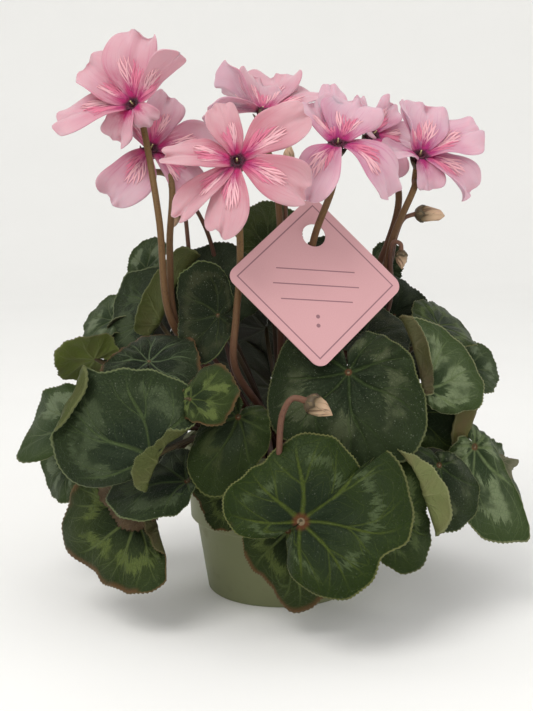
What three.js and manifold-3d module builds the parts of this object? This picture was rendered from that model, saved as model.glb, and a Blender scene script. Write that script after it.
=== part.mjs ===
// A cyclamen in a plastic pot: a mound of marbled leaves round a bunch of upright pink blooms.
// Millimetres, +Z up. The origin is the middle of the pot's underside, and the front faces -Y.
import * as THREE from "three";
import { mergeVertices } from "three/addons/utils/BufferGeometryUtils.js";
import Module from "manifold-3d";

const wasm = await Module();
wasm.setup();

// Driving dimensions
const GAP = 0.3; // between pieces that rest on each other
const POT = {
  height: 88,
  footRadius: 42,
  shoulderRadius: 48.5, // where the wall steps out, so that nested pots come apart
  shoulderHeight: 41,
  collarRadius: 52,
  mouthRadius: 54,
  lipRadius: 56.5,
  lipHeight: 6,
  wall: 1.3,
  step: 2, // height of the step from shoulder to collar
  floorTop: 4.5,
  sides: 24,
};
const CHANNEL = { inner: 17, outer: 37, depth: 3, slant: 1 }; // ring-shaped, under the floor
const DRAIN = { count: 6, radius: 5, circle: 27, sides: 8 };
const SOIL = { height: 76, rippleRadius: 41, ripple: 1.2 };
const TUBER = { radius: 28, halfHeight: 15, centreHeight: 71, sides: 14, rings: 7 };
const BLADE_THICKNESS = 0.8;
const PETIOLE_RADIUS = 1.5;
const PETIOLE_LEAN = 0.03; // how far a leaf stalk leans out, for its distance from the middle of the crown
const STEM_RADIUS = 2;
const BUD_STEM_RADIUS = 1.3;
const BUD_SIDES = 7;
const ROOT_DEPTH = 4; // how far a stalk is drawn below the crown before it is trimmed there
const STALK_GRIDS = { petiole: [4, 5], flower: [5, 8], bud: [5, 9] }; // sides, steps along
const BLADE_RINGS = [0.55, 1]; // shares of the way out to a blade's edge
const BLADE_SEGMENTS = { large: 16, small: 12 };
const PETAL_THICKNESS = 0.7;
const PETAL_GRID = { along: 4, across: 2 };
const PETAL_CUP = 0.08; // how far a petal's sides rise above its middle, against its width
const THROAT = { radius: 4.4, depth: 5, sides: 8 };
const CALYX = { height: 4, foot: 1.9, rim: 3.6, tip: [6, 6.4], notch: [3.9, 3.2], sides: 10 };
const TAG = {
  side: 70,
  thickness: 0.7,
  corner: 6,
  arcSteps: 3,
  holeRadius: 6.6,
  holeFromMiddle: 26,
  middle: [18.3, -48, 183.6],
  rightCorner: [86, 22, -9], // directions from the middle
  topCorner: [-5, 39, 82.5],
};

// Colour and roughness of each finish
const FINISHES = {
  potPlastic: [0x6f7559, 0.45],
  soil: [0x3a2a20, 0.95],
  tuber: [0x5b4232, 0.85],
  leaf: [0x2d4a2c, 0.5],
  petal: [0xdf9db4, 0.6],
  stem: [0x6b4a38, 0.5],
  bud: [0xa98774, 0.6],
  tag: [0xdba3ad, 0.7],
};

const vector = (xyz) => new THREE.Vector3(...xyz);
const radians = THREE.MathUtils.degToRad;

// A closed geometry as a solid that can be joined and cut
function solidOf(geometry) {
  const bare = geometry.index ? geometry.toNonIndexed() : geometry.clone();
  bare.deleteAttribute("normal");
  bare.deleteAttribute("uv");
  const merged = mergeVertices(bare, 1e-4);
  return new wasm.Manifold(
    new wasm.Mesh({
      numProp: 3,
      vertProperties: merged.attributes.position.array,
      triVerts: new Uint32Array(merged.index.array),
    }),
  );
}

// A solid back as a geometry
function geometryOf(solid) {
  const mesh = solid.getMesh();
  const geometry = new THREE.BufferGeometry();
  geometry.setAttribute("position", new THREE.BufferAttribute(new Float32Array(mesh.vertProperties), 3));
  geometry.setIndex(new THREE.BufferAttribute(new Uint32Array(mesh.triVerts), 1));
  geometry.computeVertexNormals();
  return geometry;
}

const joined = (solids) => solids.reduce((sum, solid) => sum.add(solid));

// A named mesh with a material of its own. Its own origin is put at a point of the solid.
function namedMesh(name, solid, finish, at = [0, 0, 0]) {
  const geometry = geometryOf(solid);
  geometry.translate(-at[0], -at[1], -at[2]);
  const [color, roughness] = FINISHES[finish];
  const mesh = new THREE.Mesh(geometry, new THREE.MeshStandardMaterial({ color, roughness, metalness: 0 }));
  mesh.name = name;
  mesh.position.set(...at);
  return mesh;
}

// An open sheet of points and triangles, given a thickness along its own normals.
// Both faces keep the same triangles, and a wall closes every free edge.
function thickened(points, triangles, thickness) {
  const sheet = new THREE.BufferGeometry().setFromPoints(points);
  sheet.setIndex(triangles.flat());
  sheet.computeVertexNormals();
  const normals = sheet.attributes.normal;
  const normalAt = (i) => new THREE.Vector3().fromBufferAttribute(normals, i);
  const shifted = (side) => points.map((point, i) => point.clone().addScaledVector(normalAt(i), side));
  const positions = [...shifted(thickness / 2), ...shifted(-thickness / 2)];
  const count = points.length;
  const edges = new Set(triangles.flatMap(([a, b, c]) => [`${a} ${b}`, `${b} ${c}`, `${c} ${a}`]));
  const walls = [];
  for (const edge of edges) {
    const [a, b] = edge.split(" ").map(Number);
    if (edges.has(`${b} ${a}`)) continue;
    walls.push([b, a, a + count], [b, a + count, b + count]);
  }
  const under = triangles.map(([a, b, c]) => [c + count, b + count, a + count]);
  const geometry = new THREE.BufferGeometry().setFromPoints(positions);
  geometry.setIndex([...triangles, ...under, ...walls].flat());
  return solidOf(geometry);
}

// A round stalk along a curve, closed at both ends
function stalk(curve, radius, [sides, steps]) {
  const section = new THREE.Shape();
  for (let i = 0; i < sides; i++) {
    const angle = (i / sides) * 2 * Math.PI;
    const [x, y] = [radius * Math.cos(angle), radius * Math.sin(angle)];
    if (i === 0) section.moveTo(x, y);
    else section.lineTo(x, y);
  }
  section.closePath();
  return solidOf(new THREE.ExtrudeGeometry(section, { steps, extrudePath: curve, curveSegments: 1 }));
}

// A profile of [radius, height] pairs turned round the Y axis
function latheOf(profile, sides) {
  const points = profile.map(([radius, height]) => new THREE.Vector2(radius, height));
  return new THREE.LatheGeometry(points, sides);
}

// A turned geometry moved to a point, with its axis along a direction
function placed(geometry, at, direction) {
  const turn = new THREE.Quaternion().setFromUnitVectors(new THREE.Vector3(0, 1, 0), direction);
  geometry.applyQuaternion(turn);
  geometry.translate(at.x, at.y, at.z);
  return solidOf(geometry);
}

const turned = (profile, sides, at, direction) => placed(latheOf(profile, sides), at, direction);

// Bends a flat stretch into an arc: a point at a distance along it and a height above it
function bent(distance, height, curvature) {
  if (Math.abs(curvature) < 1e-6) return [distance, height];
  const radius = 1 / curvature - height;
  const angle = distance * curvature;
  return [radius * Math.sin(angle), 1 / curvature - radius * Math.cos(angle)];
}

// Pot: a lathed wall with a stacking shoulder, a rolled lip and drain holes over a channel under the floor
function pot() {
  const { wall, step } = POT;
  const { inner, outer, depth, slant } = CHANNEL;
  const lipBottom = POT.height - POT.lipHeight;
  const profile = [
    [0, 0],
    [inner - slant, 0],
    [inner, depth],
    [outer, depth],
    [outer + slant, 0],
    [POT.footRadius, 0],
    [POT.shoulderRadius, POT.shoulderHeight],
    [POT.collarRadius, POT.shoulderHeight + step],
    [POT.mouthRadius, lipBottom],
    [POT.lipRadius, lipBottom],
    [POT.lipRadius, POT.height - 1],
    [POT.lipRadius - 1, POT.height],
    [POT.mouthRadius - wall, POT.height],
    [POT.collarRadius - wall, POT.shoulderHeight + step + 1],
    [POT.shoulderRadius - wall, POT.shoulderHeight + 1],
    [POT.footRadius - wall, POT.floorTop],
    [0, POT.floorTop],
  ];
  const up = new THREE.Vector3(0, 0, 1);
  let body = turned(profile, POT.sides, new THREE.Vector3(), up);
  for (let i = 0; i < DRAIN.count; i++) {
    const angle = (i / DRAIN.count) * 2 * Math.PI;
    const hole = new THREE.CylinderGeometry(DRAIN.radius, DRAIN.radius, 20, DRAIN.sides);
    hole.rotateX(Math.PI / 2);
    hole.translate(DRAIN.circle * Math.cos(angle), DRAIN.circle * Math.sin(angle), CHANNEL.depth);
    body = body.subtract(solidOf(hole));
  }
  return body;
}

// Tuber: a flattened ball, half out of the soil. A margin makes the space that others leave round it.
function tuber(margin) {
  const ball = new THREE.SphereGeometry(1, TUBER.sides, TUBER.rings);
  ball.rotateX(Math.PI / 2);
  ball.scale(TUBER.radius + margin, TUBER.radius + margin, TUBER.halfHeight + margin);
  ball.translate(0, 0, TUBER.centreHeight);
  return solidOf(ball);
}

// The tuber's height at a distance from its middle
const crownHeight = (distance) =>
  TUBER.centreHeight + TUBER.halfHeight * Math.sqrt(1 - (distance / TUBER.radius) ** 2);

// Soil: it fills the pot up to below the lip, with an uneven top and a seat for the tuber
function soil() {
  const { wall, step } = POT;
  const inner = wall + GAP;
  const collarBottom = POT.shoulderHeight + step + 1;
  const slope = (POT.mouthRadius - POT.collarRadius) / (POT.height - collarBottom);
  const profile = [
    [0, POT.floorTop + GAP],
    [POT.footRadius - inner, POT.floorTop + GAP],
    [POT.shoulderRadius - inner, POT.shoulderHeight + 1],
    [POT.collarRadius - inner, collarBottom + GAP],
    [POT.collarRadius - inner + slope * (SOIL.height - collarBottom), SOIL.height],
    [SOIL.rippleRadius, SOIL.height],
    [0, SOIL.height],
  ];
  const lathed = latheOf(profile, POT.sides);
  lathed.rotateX(Math.PI / 2);
  const places = lathed.attributes.position;
  for (let i = 0; i < places.count; i++) {
    const [x, y, z] = [places.getX(i), places.getY(i), places.getZ(i)];
    if (z > SOIL.height - 1 && Math.hypot(x, y) < SOIL.rippleRadius + 1)
      places.setZ(i, z + SOIL.ripple * Math.sin(x * 0.9) * Math.cos(y * 0.7));
  }
  return solidOf(lathed).subtract(tuber(GAP));
}

// Each stalk stands on its own spot of the tuber's crown: rings of places, inner rings for steeper stalks
const CROWN_RINGS = [
  { radius: 0, places: 1 },
  { radius: 5.5, places: 6 },
  { radius: 11, places: 12 },
  { radius: 16.5, places: 18 },
  { radius: 22, places: 21 },
];

function crownPlace([ring, place]) {
  const { radius, places } = CROWN_RINGS[ring];
  const angle = (place / places) * 2 * Math.PI - Math.PI / 2;
  return new THREE.Vector3(radius * Math.cos(angle), radius * Math.sin(angle), crownHeight(radius));
}

const belowCrown = (root) => root.clone().add(new THREE.Vector3(0, 0, -ROOT_DEPTH));

// Takes away what would reach into the tuber, so that a stalk ends just clear of it
const rooted = (solid) => solid.subtract(tuber(GAP));

// Leaf blades. A point is given by its share of the way out to the edge and its angle from the tip.
function outline(leaf, angle) {
  const back = (1 - Math.cos(angle)) / 2;
  const scallop = leaf.lobing * Math.cos(leaf.lobes * angle);
  return leaf.reach * (1 - leaf.cut * back ** 2 - leaf.lobing + scallop);
}

function bladePoint(leaf, share, angle) {
  const distance = share * outline(leaf, angle);
  const x = distance * Math.cos(angle);
  const y = distance * Math.sin(angle) * leaf.breadth;
  const wave = leaf.wave * leaf.reach * share ** 3 * Math.sin(leaf.waves * angle);
  const side = y > 0 ? leaf.left : leaf.right;
  const end = x > 0 ? leaf.tipCurl : leaf.baseCurl;
  const [across, height] = bent(y, wave, radians(side) / leaf.reach);
  const [along, lift] = bent(x, height, radians(end) / leaf.reach);
  return new THREE.Vector3(along, across, lift);
}

// The axes of a leaf or bloom: its own z along its face, its own x as near as can be to a wished direction
function frameOf(face, along) {
  const z = face.clone().normalize();
  const x = along.clone().addScaledVector(z, -along.dot(z)).normalize();
  const y = new THREE.Vector3().crossVectors(z, x);
  return new THREE.Matrix4().makeBasis(x, y, z);
}

function blade(leaf) {
  const segments = BLADE_SEGMENTS[leaf.grid];
  const place = frameOf(vector(leaf.face), vector(leaf.tip)).setPosition(vector(leaf.at));
  const points = [vector(leaf.at)];
  for (const share of BLADE_RINGS)
    for (let segment = 0; segment <= segments; segment++) {
      const angle = ((2 * segment) / segments - 1) * (Math.PI - leaf.sinus);
      points.push(bladePoint(leaf, share, angle).applyMatrix4(place));
    }
  const triangles = [];
  for (let a = 1; a <= segments; a++) {
    const b = a + 1;
    const [c, d] = [a + segments + 1, b + segments + 1];
    triangles.push([0, a, b], [a, c, d], [a, d, b]);
  }
  return thickened(points, triangles, BLADE_THICKNESS);
}

// Leaf stalk: up from the crown, over and to the blade from behind. It ends inside the blade.
function petiole(leaf) {
  const root = crownPlace(leaf.root);
  const lean = new THREE.Vector3(root.x, root.y, 0).multiplyScalar(PETIOLE_LEAN);
  const start = belowCrown(root).addScaledVector(lean, -ROOT_DEPTH);
  const above = root.clone().addScaledVector(lean, leaf.rise).add(new THREE.Vector3(0, 0, leaf.rise));
  const behind = vector(leaf.at).add(vector(leaf.behind));
  const end = vector(leaf.at).addScaledVector(vector(leaf.face).normalize(), BLADE_THICKNESS / 4);
  const curve = new THREE.CubicBezierCurve3(start, above, behind, end);
  return stalk(curve, PETIOLE_RADIUS, STALK_GRIDS.petiole);
}

const leafSolid = (leaf) => rooted(petiole(leaf).add(blade(leaf)));

// Leaves. at is where the stalk meets the blade, tip is the way its midrib points and face the way its
// upper side looks. reach is from there to the tip. root names the ring and the spot on the crown.
const LEAF = {
  breadth: 0.9, // half width against reach
  cut: 0.38, // how much shorter the basal lobes are than the tip
  sinus: 0.09, // half of the slit between the two basal lobes, in radians
  lobes: 7,
  lobing: 0.03,
  wave: 0.04,
  waves: 4,
  left: 14, // curls of the two sides, the tip and the base lobes, in degrees over one reach
  right: 14,
  tipCurl: -14,
  baseCurl: 8,
  rise: 28, // how far the stalk goes up before it bends over
  behind: [0, 18, -4], // the stalk comes to the blade from here
  grid: "large",
};
const LEAVES = [
  // low in front
  {
    name: "leaf_front_low", at: [9, -114, 71], tip: [0.92, 0, 0.38], face: [-0.05, -0.93, 0.32],
    reach: 54, breadth: 0.9, lobes: 7, lobing: 0.04, root: [4, 1], behind: [0, 26, 14],
  },
  {
    name: "leaf_front_under", at: [3, -86, 58], tip: [0.1, 0, -1], face: [0, -0.95, 0.3],
    reach: 45, root: [4, 0], rise: 28, behind: [0, 8, 33],
  },
  {
    name: "leaf_front_shade", at: [-25, -70, 71], tip: [-0.6, 0, -0.8], face: [-0.1, -0.9, 0.4],
    reach: 26, rise: 34, root: [4, 20], behind: [0, 14, 24], grid: "small",
  },
  {
    name: "leaf_front_right", at: [54, -86, 68], tip: [0.22, 0, -1], face: [0.2, -0.9, 0.3],
    reach: 33, breadth: 0.6, root: [4, 2], behind: [-8, 16, 20],
  },
  // low on the left
  {
    name: "leaf_left_front", at: [-66, -97, 99], tip: [-0.64, 0, 0.77], face: [-0.35, -0.85, 0.4],
    reach: 48, breadth: 0.76, cut: 0.5, left: 14, right: 22, sinus: 0.75, root: [3, 16], behind: [12, 24, 2],
  },
  {
    name: "leaf_left_fold", at: [-49, -82, 83], tip: [-1, -0.1, -0.05], face: [-0.1, -0.5, 0.85],
    reach: 41, breadth: 0.62, root: [4, 19], behind: [12, 14, 6],
  },
  {
    name: "leaf_left_low", at: [-77, -72, 60], tip: [-0.85, 0, -0.45], face: [-0.25, -0.85, 0.4],
    reach: 44, breadth: 0.95, lobes: 5, lobing: 0.06, rise: 34, root: [4, 17], behind: [14, 18, 30],
  },
  {
    name: "leaf_left_far", at: [-113, -31, 102], tip: [-1, 0, -0.15], face: [-0.4, -0.8, 0.5],
    reach: 38, breadth: 0.8, root: [4, 16], behind: [18, 12, 2],
  },
  {
    name: "leaf_left_back", at: [-118, -10, 77], tip: [-0.7, 0, -0.5], face: [-0.5, -0.7, 0.45],
    reach: 27, root: [4, 15], behind: [18, 6, 8], grid: "small",
  },
  // low on the right
  {
    name: "leaf_right_front", at: [82, -75, 90], tip: [0.1, 0, -1], face: [0.4, -0.85, 0.3],
    reach: 40, breadth: 0.72, right: 110, root: [4, 3], behind: [-10, 14, -2],
  },
  {
    name: "leaf_right_low", at: [105, -46, 93], tip: [0.6, 0, -0.8], face: [0.3, -0.88, 0.35],
    reach: 52, breadth: 0.55, cut: 0.45, root: [4, 4], behind: [-16, 12, 10],
  },
  {
    name: "leaf_right_far", at: [125, -4, 78], tip: [0.3, 0, -0.95], face: [0.85, -0.4, 0.4],
    reach: 44, breadth: 0.6, root: [4, 5], behind: [-18, 2, 8],
  },
  // middle height, in front
  {
    name: "leaf_middle_left", at: [-22.5, -82, 117], tip: [-0.36, 0, -0.93], face: [-0.1, -0.85, 0.5],
    reach: 40, breadth: 0.79, left: 0, root: [3, 17], behind: [0, 22, 2],
  },
  {
    name: "leaf_middle_marked", at: [-47, -86, 127], tip: [1, 0, -0.15], face: [-0.2, -0.8, 0.5],
    reach: 25, breadth: 1.05, root: [2, 11], behind: [-30, 16, 2], grid: "small",
  },
  {
    name: "leaf_middle_centre", at: [35, -63, 137], tip: [0.15, 0, -1], face: [-0.1, -0.85, 0.5],
    reach: 49, breadth: 0.98, cut: 0.46, right: -30, root: [3, 1], behind: [0, 22, 0],
  },
  {
    name: "leaf_middle_under", at: [70, -39, 108], tip: [0.2, 0, -1], face: [0.15, -0.9, 0.3],
    reach: 24, left: 40, breadth: 0.7, root: [3, 3], behind: [-8, 18, 0], grid: "small",
  },
  {
    name: "leaf_middle_right", at: [77, -57, 127], tip: [0.5, 0, 0.9], face: [0.3, -0.85, 0.4],
    reach: 42, breadth: 0.8, cut: 0.55, root: [3, 2], behind: [-6, 18, 2],
  },
  // middle height, at the sides
  {
    name: "leaf_side_left", at: [-70, -58, 142], tip: [0, 0.8, 0.6], face: [0, -0.6, 0.8],
    reach: 25, breadth: 0.85, root: [3, 15], behind: [4, 10, -16], grid: "small",
  },
  {
    name: "leaf_side_left_turned", at: [-98, -12, 136], tip: [-0.9, -0.2, 0.25], face: [-0.2, 0.75, 0.6],
    reach: 31, root: [3, 13], behind: [14, 4, -10], grid: "small",
  },
  {
    name: "leaf_side_right", at: [108, 0, 130], tip: [0.9, 0, -0.1], face: [0.3, -0.7, 0.6],
    reach: 22, root: [3, 4], behind: [-12, 6, -12], grid: "small",
  },
  // upper leaves
  {
    name: "leaf_upper_front", at: [45, -37, 153], tip: [0.6, 0.2, 0.1], face: [0.1, -0.6, 0.8],
    reach: 28, root: [2, 1], behind: [-4, 8, -16], grid: "small",
  },
  {
    name: "leaf_upper_right", at: [89, -12, 155], tip: [0.7, 0.3, 0.2], face: [0.4, -0.4, 0.8],
    reach: 26, root: [2, 2], behind: [-8, 6, -16], grid: "small",
  },
  {
    name: "leaf_upper_right_back", at: [66, 9, 158], tip: [0.3, 0, 0.9], face: [0.3, -0.9, 0.2],
    reach: 24, root: [3, 6], behind: [-4, 8, -16], grid: "small",
  },
  {
    name: "leaf_upper_rolled", at: [62, 24, 183], tip: [0.2, 0, 1], face: [0.1, -0.9, 0.2],
    reach: 22, breadth: 0.6, left: 60, right: 60, root: [3, 7], behind: [0, 4, -18], grid: "small",
  },
  {
    name: "leaf_upper_behind_tag", at: [28, 14, 172], tip: [0, 0, 1], face: [0.1, -0.9, 0.3],
    reach: 33, breadth: 0.8, root: [2, 5], behind: [0, 6, -18], grid: "small",
  },
  {
    name: "leaf_upper_left", at: [-34, -46, 165], tip: [-1, 0, -0.1], face: [-0.25, -0.93, 0.25],
    reach: 27, breadth: 0.92, left: 24, right: 24, cut: 0.6, root: [1, 5], behind: [4, 10, -14],
  },
  {
    name: "leaf_upper_left_broad", at: [-69, -3, 156], tip: [-0.3, 0, 1], face: [-0.55, -0.7, 0.4],
    reach: 33, right: 60, cut: 0.55, root: [3, 14], behind: [6, 8, -14],
  },
  {
    name: "leaf_upper_left_low", at: [-98, 20, 154], tip: [-0.8, 0, 0.4], face: [-0.4, -0.6, 0.7],
    reach: 23, root: [2, 9], behind: [10, 4, -14], grid: "small",
  },
  {
    name: "leaf_upper_left_back", at: [-79, 28, 183], tip: [-0.1, 0, 1], face: [-0.5, -0.7, 0.4],
    reach: 22, breadth: 0.7, root: [2, 8], behind: [8, 4, -16], grid: "small",
  },
  {
    name: "leaf_upper_back", at: [-38, 8, 176], tip: [0.1, 0, 1], face: [-0.2, -0.9, 0.4],
    reach: 26, root: [2, 7], behind: [4, 4, -16], grid: "small",
  },
  {
    name: "leaf_top", at: [-6, 26, 196], tip: [0, 0, 1], face: [0.2, -0.9, 0.2],
    reach: 30, breadth: 0.75, root: [2, 6], behind: [0, 4, -18], grid: "small",
  },
  // the back
  {
    name: "leaf_back_low_right", at: [88, 62, 84], tip: [0.6, 0.5, -0.7], face: [0.7, 0.6, 0.4],
    reach: 46, root: [4, 7], behind: [-14, -12, 10],
  },
  {
    name: "leaf_back_low", at: [2, 100, 92], tip: [0.1, 0.4, -0.9], face: [0.1, 0.85, 0.45],
    reach: 50, root: [4, 10], behind: [0, -18, 12],
  },
  {
    name: "leaf_back_low_left", at: [-78, 66, 84], tip: [-0.6, 0.5, -0.7], face: [-0.6, 0.65, 0.45],
    reach: 46, root: [4, 13], behind: [14, -12, 10],
  },
  {
    name: "leaf_back_right", at: [62, 56, 138], tip: [0.5, 0.6, -0.5], face: [0.5, 0.6, 0.7],
    reach: 40, root: [3, 8], behind: [-6, -8, -12],
  },
  {
    name: "leaf_back_middle", at: [-8, 74, 142], tip: [-0.1, 0.8, -0.5], face: [-0.05, 0.7, 0.7],
    reach: 42, root: [3, 9], behind: [0, -10, -12],
  },
  {
    name: "leaf_back_left", at: [-68, 44, 138], tip: [-0.6, 0.6, -0.5], face: [-0.5, 0.5, 0.7],
    reach: 38, root: [3, 11], behind: [6, -8, -12],
  },
];

// Petals. A point is given by how far along the petal it lies and how far across, from -1 to 1.
// A petal leaves the throat at its lift above the bloom's own plane and ends at its droop.
const petal = (turn, length, width, lift, droop, twist = 10) => ({ turn, length, width, lift, droop, twist });

function petalPoint(shape, along, across) {
  const swell = Math.sin((Math.PI / 2) * Math.min(1, along / 0.7)) ** 1.4;
  const rounding = along > 0.7 ? 1 - 0.5 * ((along - 0.7) / 0.3) ** 2 : 1;
  const halfWidth = (shape.width / 2) * (0.12 + 0.88 * swell) * rounding;
  const distance = shape.length * along * (1 - 0.16 * across ** 2 * along ** 2);
  const start = radians(shape.lift);
  const curvature = radians(shape.droop - shape.lift) / shape.length;
  const heading = start + curvature * distance;
  const out = THROAT.radius - 1.2 + (Math.sin(heading) - Math.sin(start)) / curvature;
  const up = THROAT.depth - 1.5 - (Math.cos(heading) - Math.cos(start)) / curvature;
  const twist = radians(shape.twist) * Math.min(1, 2 * along);
  const cupping = PETAL_CUP * shape.width * across ** 2 * along;
  const side = across * halfWidth * Math.cos(twist);
  const height = across * halfWidth * Math.sin(twist) + cupping;
  return new THREE.Vector3(out - height * Math.sin(heading), side, up + height * Math.cos(heading));
}

function petalSolid(shape, place) {
  const { along, across } = PETAL_GRID;
  const turn = new THREE.Matrix4().makeRotationZ(radians(shape.turn));
  const points = [];
  const triangles = [];
  for (let i = 0; i <= along; i++)
    for (let j = 0; j <= across; j++)
      points.push(petalPoint(shape, i / along, (2 * j) / across - 1).applyMatrix4(turn).applyMatrix4(place));
  for (let i = 0; i < along; i++)
    for (let j = 0; j < across; j++) {
      const a = i * (across + 1) + j;
      const c = a + across + 1;
      triangles.push([a, c, c + 1], [a, c + 1, a + 1]);
    }
  return thickened(points, triangles, PETAL_THICKNESS);
}

// The bloom's axes: z out of its throat, and x to the right as seen from in front
function bloomFrame(bloom) {
  const face = vector(bloom.face).normalize();
  const right = new THREE.Vector3(0, 0, 1).cross(face);
  return frameOf(face, right);
}

function corolla(bloom) {
  const face = vector(bloom.face).normalize();
  const base = vector(bloom.at).addScaledVector(face, CALYX.height + GAP);
  const place = bloomFrame(bloom).setPosition(base);
  const { radius, depth } = THROAT;
  const tube = turned([[0, 0], [radius - 1, 0], [radius, depth], [0, depth - 0.5]], THROAT.sides, base, face);
  return joined([tube, ...bloom.petals.map((shape) => petalSolid(shape, place))]);
}

// Calyx: a small cup whose rim rises in five pointed sepals
function calyx(at, face) {
  const { height, foot, rim, tip, notch } = CALYX;
  const profile = [[0, -1], [foot, -1], tip, [rim, height], [0, height]];
  const lathed = latheOf(profile, CALYX.sides);
  const places = lathed.attributes.position;
  for (let i = 0; i < places.count; i++) {
    const angle = Math.atan2(places.getX(i), places.getZ(i));
    const step = Math.round((angle / (2 * Math.PI)) * CALYX.sides);
    if (Math.hypot(places.getX(i), places.getZ(i)) < tip[0] - 0.1 || step % 2 === 0) continue;
    places.setX(i, notch[0] * Math.sin(angle));
    places.setZ(i, notch[0] * Math.cos(angle));
    places.setY(i, notch[1]);
  }
  return placed(lathed, at, face);
}

// Flower stem with its calyx
function flowerStem(bloom) {
  const face = vector(bloom.face).normalize();
  const at = vector(bloom.at);
  const start = belowCrown(crownPlace(bloom.root));
  const neck = at.clone().addScaledVector(face, -4).add(new THREE.Vector3(0, 0, -4));
  const end = at.clone().addScaledVector(face, 1);
  const curve = new THREE.CatmullRomCurve3([start, ...bloom.via.map(vector), neck, end]);
  return rooted(stalk(curve, STEM_RADIUS, STALK_GRIDS.flower).add(calyx(at, face)));
}

// Blooms. at is the middle of the calyx, face is the way the throat looks, via are points of the stem.
const BLOOMS = [
  {
    name: "bloom_left_top", at: [-77, -18, 272], face: [-0.35, -0.75, 0.55], root: [2, 10],
    via: [[-26, -15, 118], [-50, -27, 143], [-61, -36, 165], [-66, -31, 215]],
    petals: [
      petal(88, 36, 26, 40, 10), petal(148, 36, 27, 35, 5), petal(200, 43, 25, 30, -10),
      petal(255, 28, 28, 10, -50), petal(325, 22, 18, 20, -60), petal(25, 38, 22, 30, 0, 50),
    ],
  },
  {
    name: "bloom_left_under", at: [-76, 0, 248], face: [0.4, -0.55, 0.6], root: [1, 4],
    via: [[-28, -9, 116], [-52, -22, 143], [-59, -31, 165], [-61, -24, 200], [-62, -10, 238]],
    petals: [
      petal(222, 40, 27, 0, -50), petal(350, 42, 26, 30, 0), petal(305, 38, 24, 10, -40),
      petal(60, 34, 22, 40, 10), petal(130, 30, 22, 40, 0),
    ],
  },
  {
    name: "bloom_centre", at: [-22.6, -66.5, 243.4], face: [-0.02, -0.9, 0.4], root: [1, 0],
    via: [[-8, -28, 106], [-25, -57, 140], [-24, -54.5, 165], [-22, -51, 190]],
    petals: [
      petal(107, 27, 14, 40, 0), petal(32, 42, 28, 30, -5), petal(-28, 38, 28, 25, -20),
      petal(-92, 42, 26, 20, -20), petal(-130, 44, 15, 20, -20), petal(186, 38, 32, 30, -5),
    ],
  },
  {
    name: "bloom_middle_top", at: [-10, 5, 272], face: [0, 0.5, 0.85], root: [0, 0],
    via: [[0, 0, 120], [0, 2, 205], [-4, 5, 246]],
    petals: [
      petal(350, 38, 22, 60, 20), petal(25, 38, 16, 25, -20), petal(245, 38, 26, 85, 50),
      petal(300, 36, 25, 85, 40), petal(190, 42, 24, 45, -10), petal(60, 26, 22, 10, -50),
    ],
  },
  {
    name: "bloom_right_front", at: [29, -40, 256], face: [0.05, -0.55, 0.83], root: [1, 1],
    via: [[10, -16, 120], [14, -26, 180], [17.6, -40, 206.4], [26, -49, 236]],
    petals: [
      petal(115, 36, 29, 28, -5), petal(60, 36, 29, 28, -5), petal(345, 44, 26, 15, -65),
      petal(240, 38, 32, 15, -55), petal(90, 36, 18, 60, 10, 40),
    ],
  },
  {
    name: "bloom_right_back", at: [42, 12, 265], face: [0.75, -0.2, 0.5], root: [1, 2],
    via: [[16, 6, 120], [56, -5, 190], [68, -2, 238], [52, 14, 256]],
    petals: [
      petal(60, 28, 22, 40, 10), petal(0, 32, 24, 40, 10), petal(120, 26, 20, 45, 10),
      petal(200, 34, 24, 50, 0), petal(280, 34, 24, 40, 0),
    ],
  },
  {
    name: "bloom_right_side", at: [75, -10, 243.4], face: [0.15, -0.6, 0.78], root: [2, 3],
    via: [[24, -2, 116], [54, -14, 170], [62, -17, 205], [73, -18, 232]],
    petals: [
      petal(110, 34, 22, 50, 20, 50), petal(70, 36, 28, 35, 5), petal(15, 38, 26, 30, 0),
      petal(335, 44, 26, 10, -60), petal(280, 22, 16, 0, -70), petal(200, 25, 20, 45, 0),
    ],
  },
];

// Buds: a pointed drop on a thin bent stem
function bud(shape) {
  const at = vector(shape.at);
  const heading = vector(shape.tip).normalize();
  const start = belowCrown(crownPlace(shape.root));
  const end = at.clone().addScaledVector(heading, 1);
  const curve = new THREE.CatmullRomCurve3([start, ...shape.via.map(vector), end]);
  const { length, radius } = shape;
  const profile = [[0, 0], [0.6, 0], [0.95, 0.3], [0.8, 0.65], [0, 1]];
  const drop = turned(profile.map(([r, z]) => [r * radius, z * length]), BUD_SIDES, at, heading);
  return rooted(stalk(curve, BUD_STEM_RADIUS, STALK_GRIDS.bud).add(drop));
}

const BUDS = [
  {
    name: "bud_right", at: [72, -15, 218], tip: [1, 0, -0.1], length: 16, radius: 4.6, root: [2, 4],
    via: [[28, 4, 116], [60, -10, 185], [64, -14, 208], [67, -15, 216]],
  },
  {
    name: "bud_hanging", at: [66, -22, 197.5], tip: [0.05, 0, -1], length: 10, radius: 3.4, root: [3, 5],
    via: [[30, 0, 112], [60, -16, 165], [60.5, -20, 196], [62, -22, 202.5], [65.5, -22, 201.5]],
  },
  {
    name: "bud_front", at: [12, -99, 129], tip: [0.85, 0, -0.5], length: 15, radius: 5.2, root: [3, 0],
    via: [[-7, -36, 99], [-6, -62, 95], [-4, -88, 91], [-2, -98, 98], [0, -99, 122], [5, -99, 130]],
  },
  {
    name: "bud_behind", at: [4, 4, 244], tip: [0.1, 0, 1], length: 12, radius: 3.6, root: [1, 3],
    via: [[2, 10, 120], [3, 8, 190], [3, 5, 230]],
  },
];

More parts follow.
